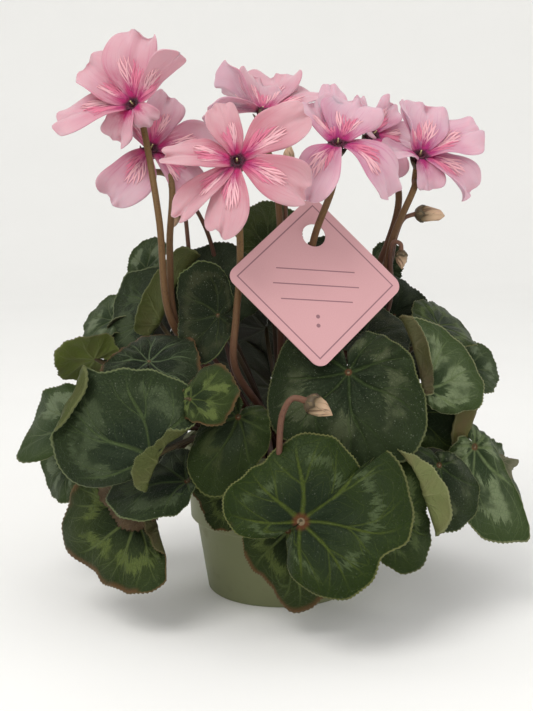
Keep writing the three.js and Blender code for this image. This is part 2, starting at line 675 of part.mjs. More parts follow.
// Tag: a square card with rounded corners that hangs as a diamond, with a hole near its top corner
function tag() {
  const half = TAG.side / 2;
  const inner = half - TAG.corner;
  const card = new THREE.Shape();
  card.absarc(inner, -inner, TAG.corner, -Math.PI / 2, 0);
  card.absarc(inner, inner, TAG.corner, 0, Math.PI / 2);
  card.absarc(-inner, inner, TAG.corner, Math.PI / 2, Math.PI);
  card.absarc(-inner, -inner, TAG.corner, Math.PI, 1.5 * Math.PI);
  card.closePath();
  const hole = new THREE.Path();
  const offset = TAG.holeFromMiddle / Math.SQRT2;
  hole.absarc(offset, offset, TAG.holeRadius, 0, 2 * Math.PI, true);
  card.holes.push(hole);
  const settings = { depth: TAG.thickness, bevelEnabled: false, curveSegments: TAG.arcSteps };
  const geometry = new THREE.ExtrudeGeometry(card, settings);
  geometry.translate(0, 0, -TAG.thickness / 2);
  const up = vector(TAG.topCorner).normalize();
  const right = vector(TAG.rightCorner).normalize();
  const face = right.clone().cross(up);
  geometry.applyMatrix4(frameOf(face, right.clone().add(up)));
  return solidOf(geometry);
}

const plant = new THREE.Group();
plant.name = "potted_cyclamen";
plant.add(namedMesh("pot", pot(), "potPlastic"));
plant.add(namedMesh("soil", soil(), "soil"));
plant.add(namedMesh("tuber", tuber(0), "tuber"));
const card = namedMesh("tag", tag(), "tag");
card.position.set(...TAG.middle);
plant.add(card);
for (const leaf of LEAVES) plant.add(namedMesh(leaf.name, leafSolid({ ...LEAF, ...leaf }), "leaf", leaf.at));
for (const bloom of BLOOMS) {
  plant.add(namedMesh(bloom.name, corolla(bloom), "petal", bloom.at));
  plant.add(namedMesh(`${bloom.name}_stem`, flowerStem(bloom), "stem", bloom.at));
}
for (const shape of BUDS) plant.add(namedMesh(shape.name, bud(shape), "bud", shape.at));

export default plant;
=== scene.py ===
"""A cyclamen in a plastic pot: marbled leaves, pink blooms, buds and a card tag, on a pale floor.

Shapes are worked out in millimetres in the part's own frame, and become metres when a mesh is made.
The colours in materials are linear red, green and blue in thousandths.
"""
from collections import namedtuple
import math
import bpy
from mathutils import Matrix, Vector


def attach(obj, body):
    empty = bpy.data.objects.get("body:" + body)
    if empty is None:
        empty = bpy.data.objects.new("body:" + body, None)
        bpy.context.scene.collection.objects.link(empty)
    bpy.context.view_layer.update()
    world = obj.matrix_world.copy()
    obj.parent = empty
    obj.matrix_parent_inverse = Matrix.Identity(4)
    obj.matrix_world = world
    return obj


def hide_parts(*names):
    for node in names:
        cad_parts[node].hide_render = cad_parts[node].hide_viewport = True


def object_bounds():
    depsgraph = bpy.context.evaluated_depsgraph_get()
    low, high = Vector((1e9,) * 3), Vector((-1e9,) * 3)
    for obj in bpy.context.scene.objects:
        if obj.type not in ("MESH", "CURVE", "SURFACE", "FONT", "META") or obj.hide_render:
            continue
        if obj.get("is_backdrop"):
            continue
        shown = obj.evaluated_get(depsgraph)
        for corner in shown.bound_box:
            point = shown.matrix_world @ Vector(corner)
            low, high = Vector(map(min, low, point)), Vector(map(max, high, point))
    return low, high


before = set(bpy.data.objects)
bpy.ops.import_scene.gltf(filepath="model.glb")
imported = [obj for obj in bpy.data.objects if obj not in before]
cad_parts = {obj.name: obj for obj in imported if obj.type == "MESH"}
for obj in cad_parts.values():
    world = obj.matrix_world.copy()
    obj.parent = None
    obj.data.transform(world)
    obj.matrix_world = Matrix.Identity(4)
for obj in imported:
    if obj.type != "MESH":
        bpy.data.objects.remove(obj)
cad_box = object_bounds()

from types import SimpleNamespace

import bpy
import numpy as np
from mathutils import Euler, Vector

MM = 0.001
UP = np.array([0.0, 0.0, 1.0])
AXES = np.eye(3)

# Pot, soil, tuber and tag. These sizes are the source's
GAP = 0.3  # between pieces that rest on each other
POT = SimpleNamespace(height=88, foot=42, shoulder=48.5, shoulder_height=41, collar=52, mouth=54, lip=56.5,
                      lip_height=6, wall=1.3, step=2, floor_top=4.5)
CHANNEL = SimpleNamespace(inner=17, outer=37, depth=3, slant=1)
DRAIN = SimpleNamespace(count=6, radius=5, circle=27)
SOIL_HEIGHT = 76
TUBER = SimpleNamespace(radius=28, half_height=15, centre_height=71)
TAG = SimpleNamespace(side=70, thickness=0.7, corner=6, hole=6.6, hole_from_middle=26,
                      middle=(18.3, -48, 183.6), right=(86, 22, -9), top=(-5, 39, 82.5))

# Finer forms, which the source leaves out
CRUMBS = SimpleNamespace(count=420, inner=27, outer=49.5, sizes=(0.5, 1.5),
                         profile=((0.45, -0.7), (1, -0.1), (0.8, 0.5), (0.3, 0.8)))
TAG_BEVEL = 0.06

# Stalks: rings on the tuber's crown as (radius, number of places), and radii as (share of the length, radius)
CROWN_RINGS = [(0, 1), (5.5, 6), (11, 12), (16.5, 18), (22, 21)]
ROOT_DEPTH = 4
PETIOLE_LEAN = 0.03  # outwards, for its distance from the middle of the crown
PETIOLE_END = 0.2  # above the blade's middle
PETIOLE_STEPS = 26
PETIOLE_RADII = [(0, 1.9), (0.2, 1.5), (0.9, 1.35), (1, 0.9)]
STEM_RADII = [(0, 2.5), (0.1, 2.1), (0.8, 1.8), (1, 1.9)]
STEM_NECK = 4  # how far under and behind a bloom its stem bends
BUD_STEM_RADII = [(0, 1.7), (0.1, 1.35), (0.9, 1.2), (1, 1.4)]
STEM_STEPS = 60

# Leaves: rings of points as shares of the reach, closer together where an edge is folded over
LEAF_RINGS = (0.07, 0.16, 0.27, 0.38, 0.49, 0.6, 0.7, 0.79, 0.87, 0.93, 0.97, 1.0)
FOLDED_RINGS = tuple(np.linspace(0.04, 0.94, 26)) + (0.97, 1.0)
BLADE_THICKNESS = 0.5
TOOTH = 2.3  # spacing of the teeth of a leaf's edge
VEIN_PITCH = 0.8  # angle between two main veins, in radians
SEED_STEP = 1.37  # between the seeds of two leaves

# Blooms
THROAT = SimpleNamespace(radius=4.4, depth=5)
CALYX = SimpleNamespace(height=4, rim=3.6, tip=(6, 6.4), notch=(3.9, 3.2))
PETAL_THICKNESS = 0.45
PETAL_START = 1.6  # from the throat's axis, and below its edge
PETAL_GRID = (30, 21)  # points along and across
# Underside colour: greyer than the upper side, and lighter as painted light, since it faces away from the
# lamps
PETAL_UNDERSIDE = (1.04, 1.16, 1.2)  # its colour, against the upper side's
# Raised strands on each petal that is longer than least_petal
CREST = SimpleNamespace(strands=15, spread=0.56, thickness=0.44, steps=11, sides=5, least_petal=24)


# Materials

def operation(name, swapped=False):
    """A way to combine wires, as a math node."""

    def combine(*values):
        return values[0].graph.math(name, *(values[::-1] if swapped else values))

    return combine


class Wire:
    """A value in a material. Arithmetic on wires makes math nodes."""

    def __init__(self, graph, socket):
        self.graph = graph
        self.socket = socket

    __add__ = operation("ADD")
    __radd__ = operation("ADD", swapped=True)
    __sub__ = operation("SUBTRACT")
    __rsub__ = operation("SUBTRACT", swapped=True)
    __mul__ = operation("MULTIPLY")
    __truediv__ = operation("DIVIDE")
    __abs__ = operation("ABSOLUTE")


class Graph:
    """One material, made from expressions."""

    def __init__(self, name):
        self.material = bpy.data.materials.new(name)
        self.material.use_nodes = True
        self.tree = self.material.node_tree
        self.shader = self.tree.nodes["Principled BSDF"]

    def put(self, socket, value):
        """Links a wire to a socket, or a tuple that holds wires, or sets a colour or another value."""
        if isinstance(value, tuple) and any(isinstance(part, Wire) for part in value):
            value = self.node("CombineXYZ", dict(enumerate(value)))
        if isinstance(value, Wire):
            self.tree.links.new(value.socket, socket)
        elif socket.type == "RGBA":
            socket.default_value = (*(part / 1000 for part in value), 1)
        else:
            socket.default_value = value

    def node(self, kind, inputs, output=0, **settings):
        made = self.tree.nodes.new("ShaderNode" + kind)
        for key, value in settings.items():
            setattr(made, key, value)
        for key, value in inputs.items():
            self.put(made.inputs[key], value)
        return Wire(self, made.outputs[output])

    def math(self, operation, *values):
        return self.node("Math", dict(enumerate(values)), operation=operation)

    def most(self, first, *others):
        for other in others:
            first = self.math("MAXIMUM", first, other)
        return first

    def step(self, value, low, high):
        """0 below low and 1 above high, or the other way round where low is the higher of the two."""
        inputs = {"Value": value, "From Min": low, "From Max": high}
        return self.node("MapRange", inputs, interpolation_type="SMOOTHSTEP")

    def paint(self, color, *coats):
        """Lays (colour, cover) coats over a colour, one after the other."""
        for coat, cover in coats:
            color = self.node("Mix", {0: cover, 6: color, 7: coat}, 2, data_type="RGBA")
        return color

    def noise(self, vector, scale=1.0, detail=2.0, roughness=0.5):
        inputs = {"Vector": vector, "Scale": scale, "Detail": detail, "Roughness": roughness}
        return self.node("TexNoise", inputs)

    def cracks(self, vector, scale):
        """Lines between cells."""
        cells = self.node("TexVoronoi", {"Vector": vector, "Scale": scale}, feature="DISTANCE_TO_EDGE")
        return self.step(cells, 0.09, 0.02)

    def uv(self, name):
        """Both coordinates of a set."""
        pair = self.node("UVMap", {}, uv_map=name)
        first = self.node("SeparateXYZ", {0: pair})
        return first, Wire(self, first.socket.node.outputs[1])

    def place(self):
        """Where a point is on its object, in metres."""
        return self.node("TexCoord", {}, "Object")

    def finish(self, color, roughness, height, depth, strength, specular=0.5, **constants):
        """The material, with a bump from a height, as deep as given in millimetres and as strong."""
        bump = self.node("Bump", {"Height": height, "Distance": depth * MM, "Strength": strength})
        inputs = {"Base Color": color, "Roughness": roughness, "Normal": bump, "Specular IOR Level": specular}
        for key, value in constants.items():
            inputs[key.replace("_", " ")] = value
        for key, value in inputs.items():
            self.put(self.shader.inputs[key], value)
        return self.material


def leaf_net(g):
    """The coordinates of a blade and its net of veins, as shares of the leaf's reach."""
    x, y = g.uv("flat")
    share, seed = g.uv("grown")
    spot = g.node("CombineXYZ", {0: x, 1: y, 2: seed})
    radius = g.math("SQRT", x * x + y * y)
    angle = g.math("ARCTAN2", y, x)
    turns = angle / VEIN_PITCH + g.math("SINE", radius * 5 + angle * 1.7 + seed) * 0.13
    away = abs(turns - g.math("ROUND", turns)) * VEIN_PITCH
    wander = g.noise(spot, 5)
    aside = away * radius + (wander - 0.5) * 0.03
    main = g.step(aside, 0.034 - share * 0.022, 0.006) * g.step(share, 1.0, 0.62)
    first = g.step(abs(aside - (share - 0.4) * 0.42), 0.014, 0.002) * g.step(share, 0.38, 0.44)
    second = g.step(abs(aside - 0.1 - (share - 0.64) * 0.75), 0.011, 0.002) * g.step(share, 0.62, 0.68)
    phase = radius * 9 - away * 4.5 + wander * 1.6
    side = g.step(abs(g.math("FRACT", phase) - 0.5), 0.06, 0.015) * g.step(radius, 0.12, 0.3)
    return SimpleNamespace(
        share=share, seed=seed, spot=spot, radius=radius, angle=angle, turns=turns, wander=wander, main=main,
        fork=g.most(first, second * 0.8) * g.step(share, 1.0, 0.7), side=side, mesh=g.cracks(spot, 26))


def leaf_material(title, dark, green, pale, vein, rim, band=(0.5, 0.8), marbling=0.9, veining=0.75, gaps=0.44,
                  star=0.04, brown=0.72, heart=0.05, dust=0.3):
    """Upper side: a dark heart, a feathered pale band, a dark edge with a thin light rim."""
    g = Graph("leaf_upper_" + title)
    net = leaf_net(g)
    share, seed, angle, radius = net.share, net.seed, net.angle, net.radius
    mottle = g.noise(net.spot, 2.6, 3)
    feather = g.noise((angle * 11, radius * 2.2, seed), 1, 3, 0.65)
    fine = g.noise((angle * 34, radius * 5, seed), 1, 2, 0.6)
    ragged = share + (feather - 0.5) * 0.34 + (fine - 0.5) * 0.26
    ragged = ragged + g.math("COSINE", net.turns * 2 * math.pi) * star
    low, high = band
    belt = g.step(ragged, low, low + 0.035) * g.step(ragged, high, high - 0.05)
    sector = g.noise((g.math("COSINE", angle) * 1.9, g.math("SINE", angle) * 1.9, seed), 1, 1)
    patches = g.step(sector * 0.6 + g.noise(net.spot, 4.2) * 0.4, gaps, gaps + 0.1)
    halo = g.step(share, 0.2, 0.6) * g.step(share, 0.98, 0.7)
    veins = g.most(net.main, net.fork * 0.7, net.side * 0.35)
    scorch = g.step(g.noise((angle * 1.3, seed, 0.5)), brown, brown + 0.1)
    specks = g.step(g.noise(g.place(), 1300, 1), 0.68, 0.76)
    middle = g.step(radius + (feather - 0.5) * 0.03, heart, heart * 0.5)
    color = g.paint(
        dark,
        (green, g.step(share + (mottle - 0.5) * 1.1, 0.3, 0.95)),
        (pale, belt * patches * marbling),
        (pale, halo * marbling * 0.14),
        (vein, veins * veining),
        (dark, net.mesh * 0.3),
        ((85, 40, 18), scorch * g.step(share, 0.9, 0.985)),
        (rim, g.step(share, 0.975, 0.99)),
        ((160, 170, 130), specks * dust),
        ((90, 22, 12), middle * 0.85),
        ((160, 120, 75), g.step(radius, heart * 0.42, heart * 0.3)))
    height = net.wander * 0.3 - veins * 0.9 - net.mesh * 0.35 + feather * 0.15
    return g.finish(color, 0.4 + mottle * 0.16 + belt * 0.08, height, 0.5, 0.75, 0.28,
                    Specular_Tint=(500, 660, 360))


def leaf_under_material(title, base, flush, vein):
    """Underside: olive to reddish, with raised veins and a light rim."""
    g = Graph("leaf_under_" + title)
    net = leaf_net(g)
    mottle = g.noise(net.spot, 3, 3)
    veins = g.most(net.main, net.fork * 0.8, net.side * 0.6)
    color = g.paint(base, (flush, g.step(mottle, 0.4, 0.75)), (vein, veins * 0.5),
                    (vein, g.step(net.share, 0.965, 0.985)))
    return g.finish(color, 0.55 + mottle * 0.1, veins + net.mesh * 0.3 + mottle * 0.3, 0.6, 0.8, 0.3)


def petal_material(title, pale, pink, line, throat):
    """Silky pink with fine lines along the petal, feathered magenta streaks and a dark throat."""
    g = Graph("petal_" + title)
    along, across = g.uv("flat")
    seed, _ = g.uv("grown")
    lines = g.noise((across * 17, along * 1.6, seed), 1, 3, 0.6)
    cloud = g.noise((across * 1.6, along * 2.6, seed))
    wisp = g.noise((across * 8 + lines * 0.8, along * 4.2, seed), 1, 3, 0.7)
    reach = along + abs(across) * 0.3
    streak = g.step(wisp, 0.49, 0.6) * g.step(reach, 0.74, 0.25)
    glint = g.step(wisp, 0.46, 0.4) * g.step(reach, 0.66, 0.3) * g.step(reach, 0.1, 0.25)
    color = g.paint(
        pink,
        (pale, g.step(along + (cloud - 0.5) * 0.7, 0.2, 0.85)),
        (line, g.step(lines, 0.54, 0.68) * g.step(along, 1.05, 0.2) * 0.6),
        (throat, streak * 0.62),
        ((900, 620, 660), glint * 0.45),
        (throat, g.step(reach + (wisp - 0.5) * 0.5 + (lines - 0.5) * 0.25, 0.5, 0.24)),
        ((50, 3, 18), g.step(along, 0.11, 0.04)))
    height = lines * 0.6 + streak * 0.8 + glint * 0.5 + cloud * 0.2
    return g.finish(color, 0.52 + lines * 0.12, height, 0.4, 0.6, 0.3, Subsurface_Weight=0.45,
                    Subsurface_Radius=(1.0, 0.45, 0.5), Subsurface_Scale=0.002, Sheen_Weight=0.18,
                    Sheen_Roughness=0.4)


def petal_pair(title, pale, pink, line, throat):
    """The upper side of a petal and its greyer under side, lightened as painted light where it faces away."""
    dull = [tuple(share * part for share, part in zip(PETAL_UNDERSIDE, colour)) for colour in (pale, pink)]
    upper = petal_material(title, pale, pink, line, throat)
    return upper, petal_material("under_" + title, *dull, line, line)


def crest_material(name, base, end):
    """Strands on the petals, with another colour at their tips."""
    g = Graph(name)
    along, _ = g.uv("flat")
    mottle = g.noise(g.place(), 700)
    color = g.paint(base, (end, g.step(along + (mottle - 0.5) * 0.3, 0.0, 0.5)))
    return g.finish(color, 0.5, mottle, 0.2, 0.4, 0.3, Subsurface_Weight=0.15,
                    Subsurface_Radius=(1.0, 0.45, 0.5), Subsurface_Scale=0.001)


def stem_material(name, low, high, speckle):
    """Juicy stalk: one colour at the crown, another at the top, finely streaked along."""
    g = Graph(name)
    share, turn = g.uv("flat")
    seed, _ = g.uv("grown")
    streaks = g.noise((turn * 9, share * 7, seed), 1, 3)
    dots = g.noise(g.place(), 900)
    color = g.paint(low, (high, g.step(share + (streaks - 0.5) * 0.3, 0.1, 0.95)),
                    (speckle, g.step(dots, 0.55, 0.72) * 0.5))
    return g.finish(color, 0.42 + streaks * 0.15, streaks + dots * 0.6, 0.3, 0.4, 0.22,
                    Subsurface_Weight=0.05, Subsurface_Scale=0.002)


def bud_material():
    """Beige pink, with dark streaks that wind round the folded petals."""
    g = Graph("bud_skin")
    along, turn = g.uv("flat")
    seed, _ = g.uv("grown")
    spiral = g.noise((turn * 14 + along * 5, along * 1.2, seed), 1, 3)
    color = g.paint((130, 95, 45), ((500, 340, 220), g.step(along, 0.1, 0.7)),
                    ((85, 45, 22), g.step(spiral, 0.52, 0.64) * g.step(along, 1.0, 0.6) * 0.8))
    return g.finish(color, 0.45 + spiral * 0.1, spiral, 0.4, 0.6, 0.35, Subsurface_Weight=0.08,
                    Subsurface_Scale=0.002)


def plain_material(name, first, second, scale, roughness):
    """Two colours in a mottled mix."""
    g = Graph(name)
    mottle = g.noise(g.place(), scale, 3)
    return g.finish(g.paint(first, (second, mottle)), roughness, mottle, 0.2, 0.4, 0.35)


def pot_material():
    """Sage-olive plastic with a fine mould grain and a little dust and dried soil."""
    g = Graph("pot_plastic")
    place = g.place()
    cloud = g.noise(place, 30, 3)
    dust = g.step(g.noise(place, 120, 4), 0.55, 0.75)
    color = g.paint((161, 175, 83), ((189, 203, 103), cloud), ((160, 130, 90), dust * 0.18))
    return g.finish(color, 0.46 + cloud * 0.1 + dust * 0.15, g.noise(place, 1600) + cloud, 0.2, 0.25, 0.4)


def soil_material():
    """Dark lumps with paler bits of fibre."""
    g = Graph("potting_soil")
    place = g.place()
    lumps = g.noise(place, 190, 5, 0.65)
    bits = g.noise(place, 900)
    color = g.paint((9, 6, 4), ((50, 30, 18), g.step(lumps, 0.35, 0.7)),
                    ((160, 110, 70), g.step(bits, 0.68, 0.76)))
    return g.finish(color, 0.9, lumps + bits * 0.4, 1.2, 0.9, 0.2)


def tuber_material():
    """Brown bark with dark cracks."""
    g = Graph("tuber_skin")
    place = g.place()
    bark = g.noise(place, 160, 5, 0.6)
    cracks = g.cracks(place, 210)
    color = g.paint((50, 27, 16), ((130, 75, 45), bark), ((15, 9, 6), cracks * 0.7))
    return g.finish(color, 0.82, bark - cracks * 0.5, 0.9, 0.8, 0.25)


def card_material(name, printed):
    """Matte pink card. The front has a plain border, ruled lines to write on and two dots."""
    g = Graph(name)
    x, y = g.uv("flat")
    fibre = g.noise((x, y, 0.0), 1.6, 4)
    color = g.paint((530, 285, 300), ((590, 335, 350), fibre))
    if printed:
        level = (x - y) * math.sqrt(0.5)
        rise = (x + y) * math.sqrt(0.5)
        ink = g.step(abs(g.most(abs(x), abs(y)) - 30.5), 0.42, 0.28)
        for height, half in ((6, 22), (-2.5, 24), (-11, 20)):
            rule = g.step(abs(rise - height), 0.4, 0.26) * g.step(abs(level), half, half - 0.2)
            ink = g.most(ink, rule)
        for height in (-20, -25):
            away = g.math("SQRT", level * level + (rise - height) * (rise - height))
            ink = g.most(ink, g.step(away, 1.2, 1.0))
        color = g.paint(color, ((170, 75, 100), ink * 0.8))
    return g.finish(color, 0.62, fibre, 0.1, 0.2, 0.3)


# Meshes

def link(name, data):
    """A new object in the scene."""
    made = bpy.data.objects.new(name, data)
    bpy.context.scene.collection.objects.link(made)
    return made


def mesh_of(name, points, faces):
    """A mesh from points in metres."""
    mesh = bpy.data.meshes.new(name)
    mesh.from_pydata(points, [], faces)
    return mesh


def finished_mesh(made):
    """The mesh that an object has after its modifiers, or after a curve is filled."""
    return bpy.data.meshes.new_from_object(made.evaluated_get(bpy.context.evaluated_depsgraph_get()))


class Piece:
    """A mesh put together from parts in millimetres, with two sets of coordinates for its materials."""

    def __init__(self):
        self.points, self.flat, self.grown = [], [], []
        self.faces, self.slots, self.materials = [], [], []
        self.count = 0

    def add(self, points, groups, flat=None, grown=None):
        """Adds points with their faces, as (faces, material) groups."""
        zeros = np.zeros((len(points), 2))
        for faces, material in groups:
            if material not in self.materials:
                self.materials.append(material)
            self.slots += [self.materials.index(material)] * len(faces)
            self.faces += [[i + self.count for i in face] for face in faces]
        self.points.append(points)
        self.flat.append(zeros if flat is None else flat)
        self.grown.append(zeros if grown is None else grown)
        self.count += len(points)

    def build(self, name, node, slot):
        """Makes the piece's object, which replaces a node of the source if one is given."""
        mesh = mesh_of(name, np.concatenate(self.points) * MM, self.faces)
        for material in self.materials:
            mesh.materials.append(material)
        mesh.polygons.foreach_set("material_index", self.slots)
        mesh.polygons.foreach_set("use_smooth", [True] * len(self.faces))
        corners = np.zeros(len(mesh.loops), dtype=np.int32)
        mesh.loops.foreach_get("vertex_index", corners)
        for title, values in (("flat", self.flat), ("grown", self.grown)):
            layer = mesh.uv_layers.new(name=title)
            layer.data.foreach_set("uv", np.concatenate(values)[corners].ravel())
        mesh.validate()
        mesh.update()
        made = link(name, mesh)
        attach(made, "root")
        if node:
            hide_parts(node)
        return made


def unit(vector):
    vector = np.asarray(vector, float)
    return vector / np.linalg.norm(vector)


def frame_of(face, along):
    """Axes as columns: z along the face, x as near as can be to a wished direction."""
    z = unit(face)
    x = unit(np.asarray(along, float) - z * np.dot(along, z))
    return np.column_stack([x, np.cross(z, x), z])


def on_circle(radius, angle):
    return radius * math.cos(angle), radius * math.sin(angle)


def grid_faces(rows, columns, first=0, closed=False):
    """Quads between rows of points. A closed grid joins its last column to its first."""
    faces = []
    for row in range(rows - 1):
        for column in range(columns if closed else columns - 1):
            following = (column + 1) % columns
            a, b = first + row * columns + column, first + row * columns + following
            faces.append([a, a + columns, b + columns, b])
    return faces


def point_normals(points, faces):
    """The way that each point of a sheet of triangles and quads faces."""
    normals = np.zeros_like(points)
    for size in (3, 4):
        chosen = np.array([face for face in faces if len(face) == size], int).reshape(-1, size)
        first = points[chosen[:, size // 2]] - points[chosen[:, 0]]
        second = points[chosen[:, -1]] - points[chosen[:, size - 3]]
        for corner in range(size):
            np.add.at(normals, chosen[:, corner], np.cross(first, second))
    return normals / np.maximum(np.linalg.norm(normals, axis=1, keepdims=True), 1e-9)


def add_sheet(piece, points, faces, thickness, upper, under, flat, grown):
    """A sheet of points becomes a closed blade, with one material above and another below."""
    offset = point_normals(points, faces) * thickness / 2
    count = len(points)
    edges = {(face[i - 1], face[i]) for face in faces for i in range(len(face))}
    walls = [[b, a, a + count, b + count] for a, b in sorted(edges) if (b, a) not in edges]
    below = [[i + count for i in reversed(face)] for face in faces]
    piece.add(np.concatenate([points + offset, points - offset]), [(faces + walls, upper), (below, under)],
              np.tile(flat, (2, 1)), np.tile(grown, (2, 1)))


def between(stops, count):
    """Values at even steps between (share, value) stops."""
    return np.interp(np.linspace(0, 1, count), *zip(*stops))


def curve_bezier(start, first, second, end, count):
    t = np.linspace(0, 1, count)[:, None]
    return (1 - t) ** 3 * start + 3 * t * (1 - t) ** 2 * first + 3 * t ** 2 * (1 - t) * second + t ** 3 * end


def curve_through(points, count):
    """A centripetal Catmull-Rom curve through its points."""
    points = np.array(points, float)
    points = np.vstack([2 * points[0] - points[1], points, 2 * points[-1] - points[-2]])
    spans = len(points) - 3
    made = []
    for t in np.linspace(0, spans, count):
        i = min(int(t), spans - 1)
        w = t - i
        x0, x1, x2, x3 = points[i:i + 4]
        d0, d1, d2 = (np.linalg.norm(b - a) ** 0.5 for a, b in ((x0, x1), (x1, x2), (x2, x3)))
        t1 = ((x1 - x0) / d0 - (x2 - x0) / (d0 + d1) + (x2 - x1) / d1) * d1
        t2 = ((x2 - x1) / d1 - (x3 - x1) / (d1 + d2) + (x3 - x2) / d2) * d1
        made.append(x1 + t1 * w + (3 * (x2 - x1) - 2 * t1 - t2) * w ** 2 + (2 * (x1 - x2) + t1 + t2) * w ** 3)
    return np.array(made)


def add_tube(piece, path, radii, sides, material, seed):
    """A round stalk along a path, with closed ends."""
    count = len(path)
    tangents = np.gradient(path, axis=0)
    tangents /= np.linalg.norm(tangents, axis=1, keepdims=True)
    side = np.cross(tangents[0], UP if abs(tangents[0][2]) < 0.9 else AXES[0])
    turns = np.linspace(0, 2 * np.pi, sides, endpoint=False)
    rings, flat = [], []
    for i in range(count):
        side = unit(side - tangents[i] * np.dot(side, tangents[i]))
        other = np.cross(tangents[i], side)
        rings.append(path[i] + radii[i] * (np.outer(np.cos(turns), side) + np.outer(np.sin(turns), other)))
        flat.append(np.column_stack([np.full(sides, i / (count - 1)), turns / (2 * np.pi)]))
    points = np.concatenate(rings + [path[:1], path[-1:]])
    flat = np.concatenate(flat + [[[0, 0]], [[1, 0]]])
    faces = [face[::-1] for face in grid_faces(count, sides, closed=True)]
    last = (count - 1) * sides
    for i in range(sides):
        following = (i + 1) % sides
        faces.append([count * sides, following, i])
        faces.append([count * sides + 1, last + i, last + following])
    piece.add(points, [(faces, material)], flat, np.full((len(points), 2), seed))


def add_turned(piece, rings, sides, material, at=(0, 0, 0), axes=AXES, seed=0, shape=None):
    """A profile of (radius, height) pairs turned round an axis. A shape may move its rings' points."""
    turns = np.linspace(0, 2 * np.pi, sides, endpoint=False)
    made, flat = [], []
    top = max(height for _, height in rings) or 1
    for radius, height in rings:
        radii, heights = np.full(sides, float(radius)), np.full(sides, float(height))
        if shape:
            radii, heights = shape(radii, heights, turns)
        made.append(np.column_stack([radii * np.cos(turns), radii * np.sin(turns), heights]))
        flat.append(np.column_stack([np.full(sides, height / top), turns / (2 * np.pi)]))
    faces = [face[::-1] for face in grid_faces(len(rings), sides, closed=True)]
    faces.append(list(range(sides))[::-1])
    faces.append(list(range((len(rings) - 1) * sides, len(rings) * sides)))
    points = np.concatenate(made) @ axes.T + np.asarray(at, float)
    piece.add(points, [(faces, material)], np.concatenate(flat), np.full((len(points), 2), seed))


# Crown and stalks

def crown_place(root):
    """A place on the tuber's crown, from its ring and its number in the ring."""
    ring, place = root
    radius, places = CROWN_RINGS[ring]
    x, y = on_circle(radius, place / places * 2 * math.pi - math.pi / 2)
    height = TUBER.half_height * math.sqrt(1 - (radius / TUBER.radius) ** 2)
    return np.array([x, y, TUBER.centre_height + height])


def add_stem(piece, root, points, radii, sides, material, seed):
    """A stem from the crown through points."""
    path = curve_through([crown_place(root) - UP * ROOT_DEPTH, *points], STEM_STEPS)
    add_tube(piece, path, radii, sides, material, seed)


# Leaves

def blade(name, at, tip, face, reach, root=None, behind=None, look="marbled", under="dim", seed=0,
          breadth=0.9, cut=0.38, sinus=0.09, left=14, right=14, tip_curl=-14, base_curl=8, rise=28,
          teeth=0.85, ripple=0.012, quilt=0.6, sway=0.045, edge_roll=0.06, belly=0.04, lobe_round=0.4):
    """A leaf's blade: where its stalk meets it, the way of its tip, the way of its face, its reach, its place
    on the crown, where its stalk comes from, the looks of both sides, and what differs from a usual leaf."""
    return SimpleNamespace(**locals())


def bent(distance, height, curvature):
    """Where a point lies after the sheet that it stands on is bent to an arc."""
    curvature = np.where(np.abs(curvature) < 1e-6, 1e-6, curvature)
    radius = 1 / curvature - height
    angle = distance * curvature
    return radius * np.sin(angle), 1 / curvature - radius * np.cos(angle)


def on_blade(leaf, axes, x, z):
    """Where a point of a front view lies on a blade's plane, in the blade's own axes."""
    at, normal = np.array(leaf.at, float), axes[:, 2]
    y = at[1] - (normal[0] * (x - at[0]) + normal[2] * (z - at[2])) / normal[1]
    return (np.array([x, y, z]) - at) @ axes[:, :2]


def traced_reach(leaf, axes, angle):
    """How far a traced blade reaches at each angle from its tip."""
    points = [on_blade(leaf, axes, x, z) for x, z in OUTLINES[leaf.name]]
    curve = curve_through(points[-2:] + points + points[:2], 12 * len(points))
    return np.interp(angle, np.arctan2(curve[:, 1], curve[:, 0]), np.hypot(*curve.T), period=2 * np.pi)


def grown_reach(leaf, angle):
    """How far an untraced blade reaches at each angle from its tip."""
    back = (1 - np.cos(angle)) / 2
    waves = 0.03 * (np.cos(7 * angle) - 1) + 0.02 * np.sin(5 * angle + leaf.seed)
    reach = leaf.reach * (1 - leaf.cut * back ** 2 + waves)
    return reach * np.hypot(np.cos(angle), np.sin(angle) * leaf.breadth)


def tooth_count(leaf):
    return round(2 * np.pi * leaf.reach * 0.9 / TOOTH)


def fold_over(x, y, height, line, radius, limit):
    """Rolls what lies beyond a line, seen from the stalk, towards the upper side of a blade."""
    first, second = line
    way = unit([second[1] - first[1], first[0] - second[0]])
    way = way if np.dot(way, first) > 0 else -way
    start = np.dot(way, first) - radius
    ahead, beside = x * way[0] + y * way[1], y * way[0] - x * way[1]
    over = np.maximum(ahead - start, 0)
    angle = np.minimum(over / radius, math.radians(limit))
    rest = over - angle * radius
    ahead = np.minimum(ahead, start) + (radius - height) * np.sin(angle) + rest * np.cos(angle)
    height = radius - (radius - height) * np.cos(angle) + rest * np.sin(angle)
    return ahead * way[0] - beside * way[1], ahead * way[1] + beside * way[0], height


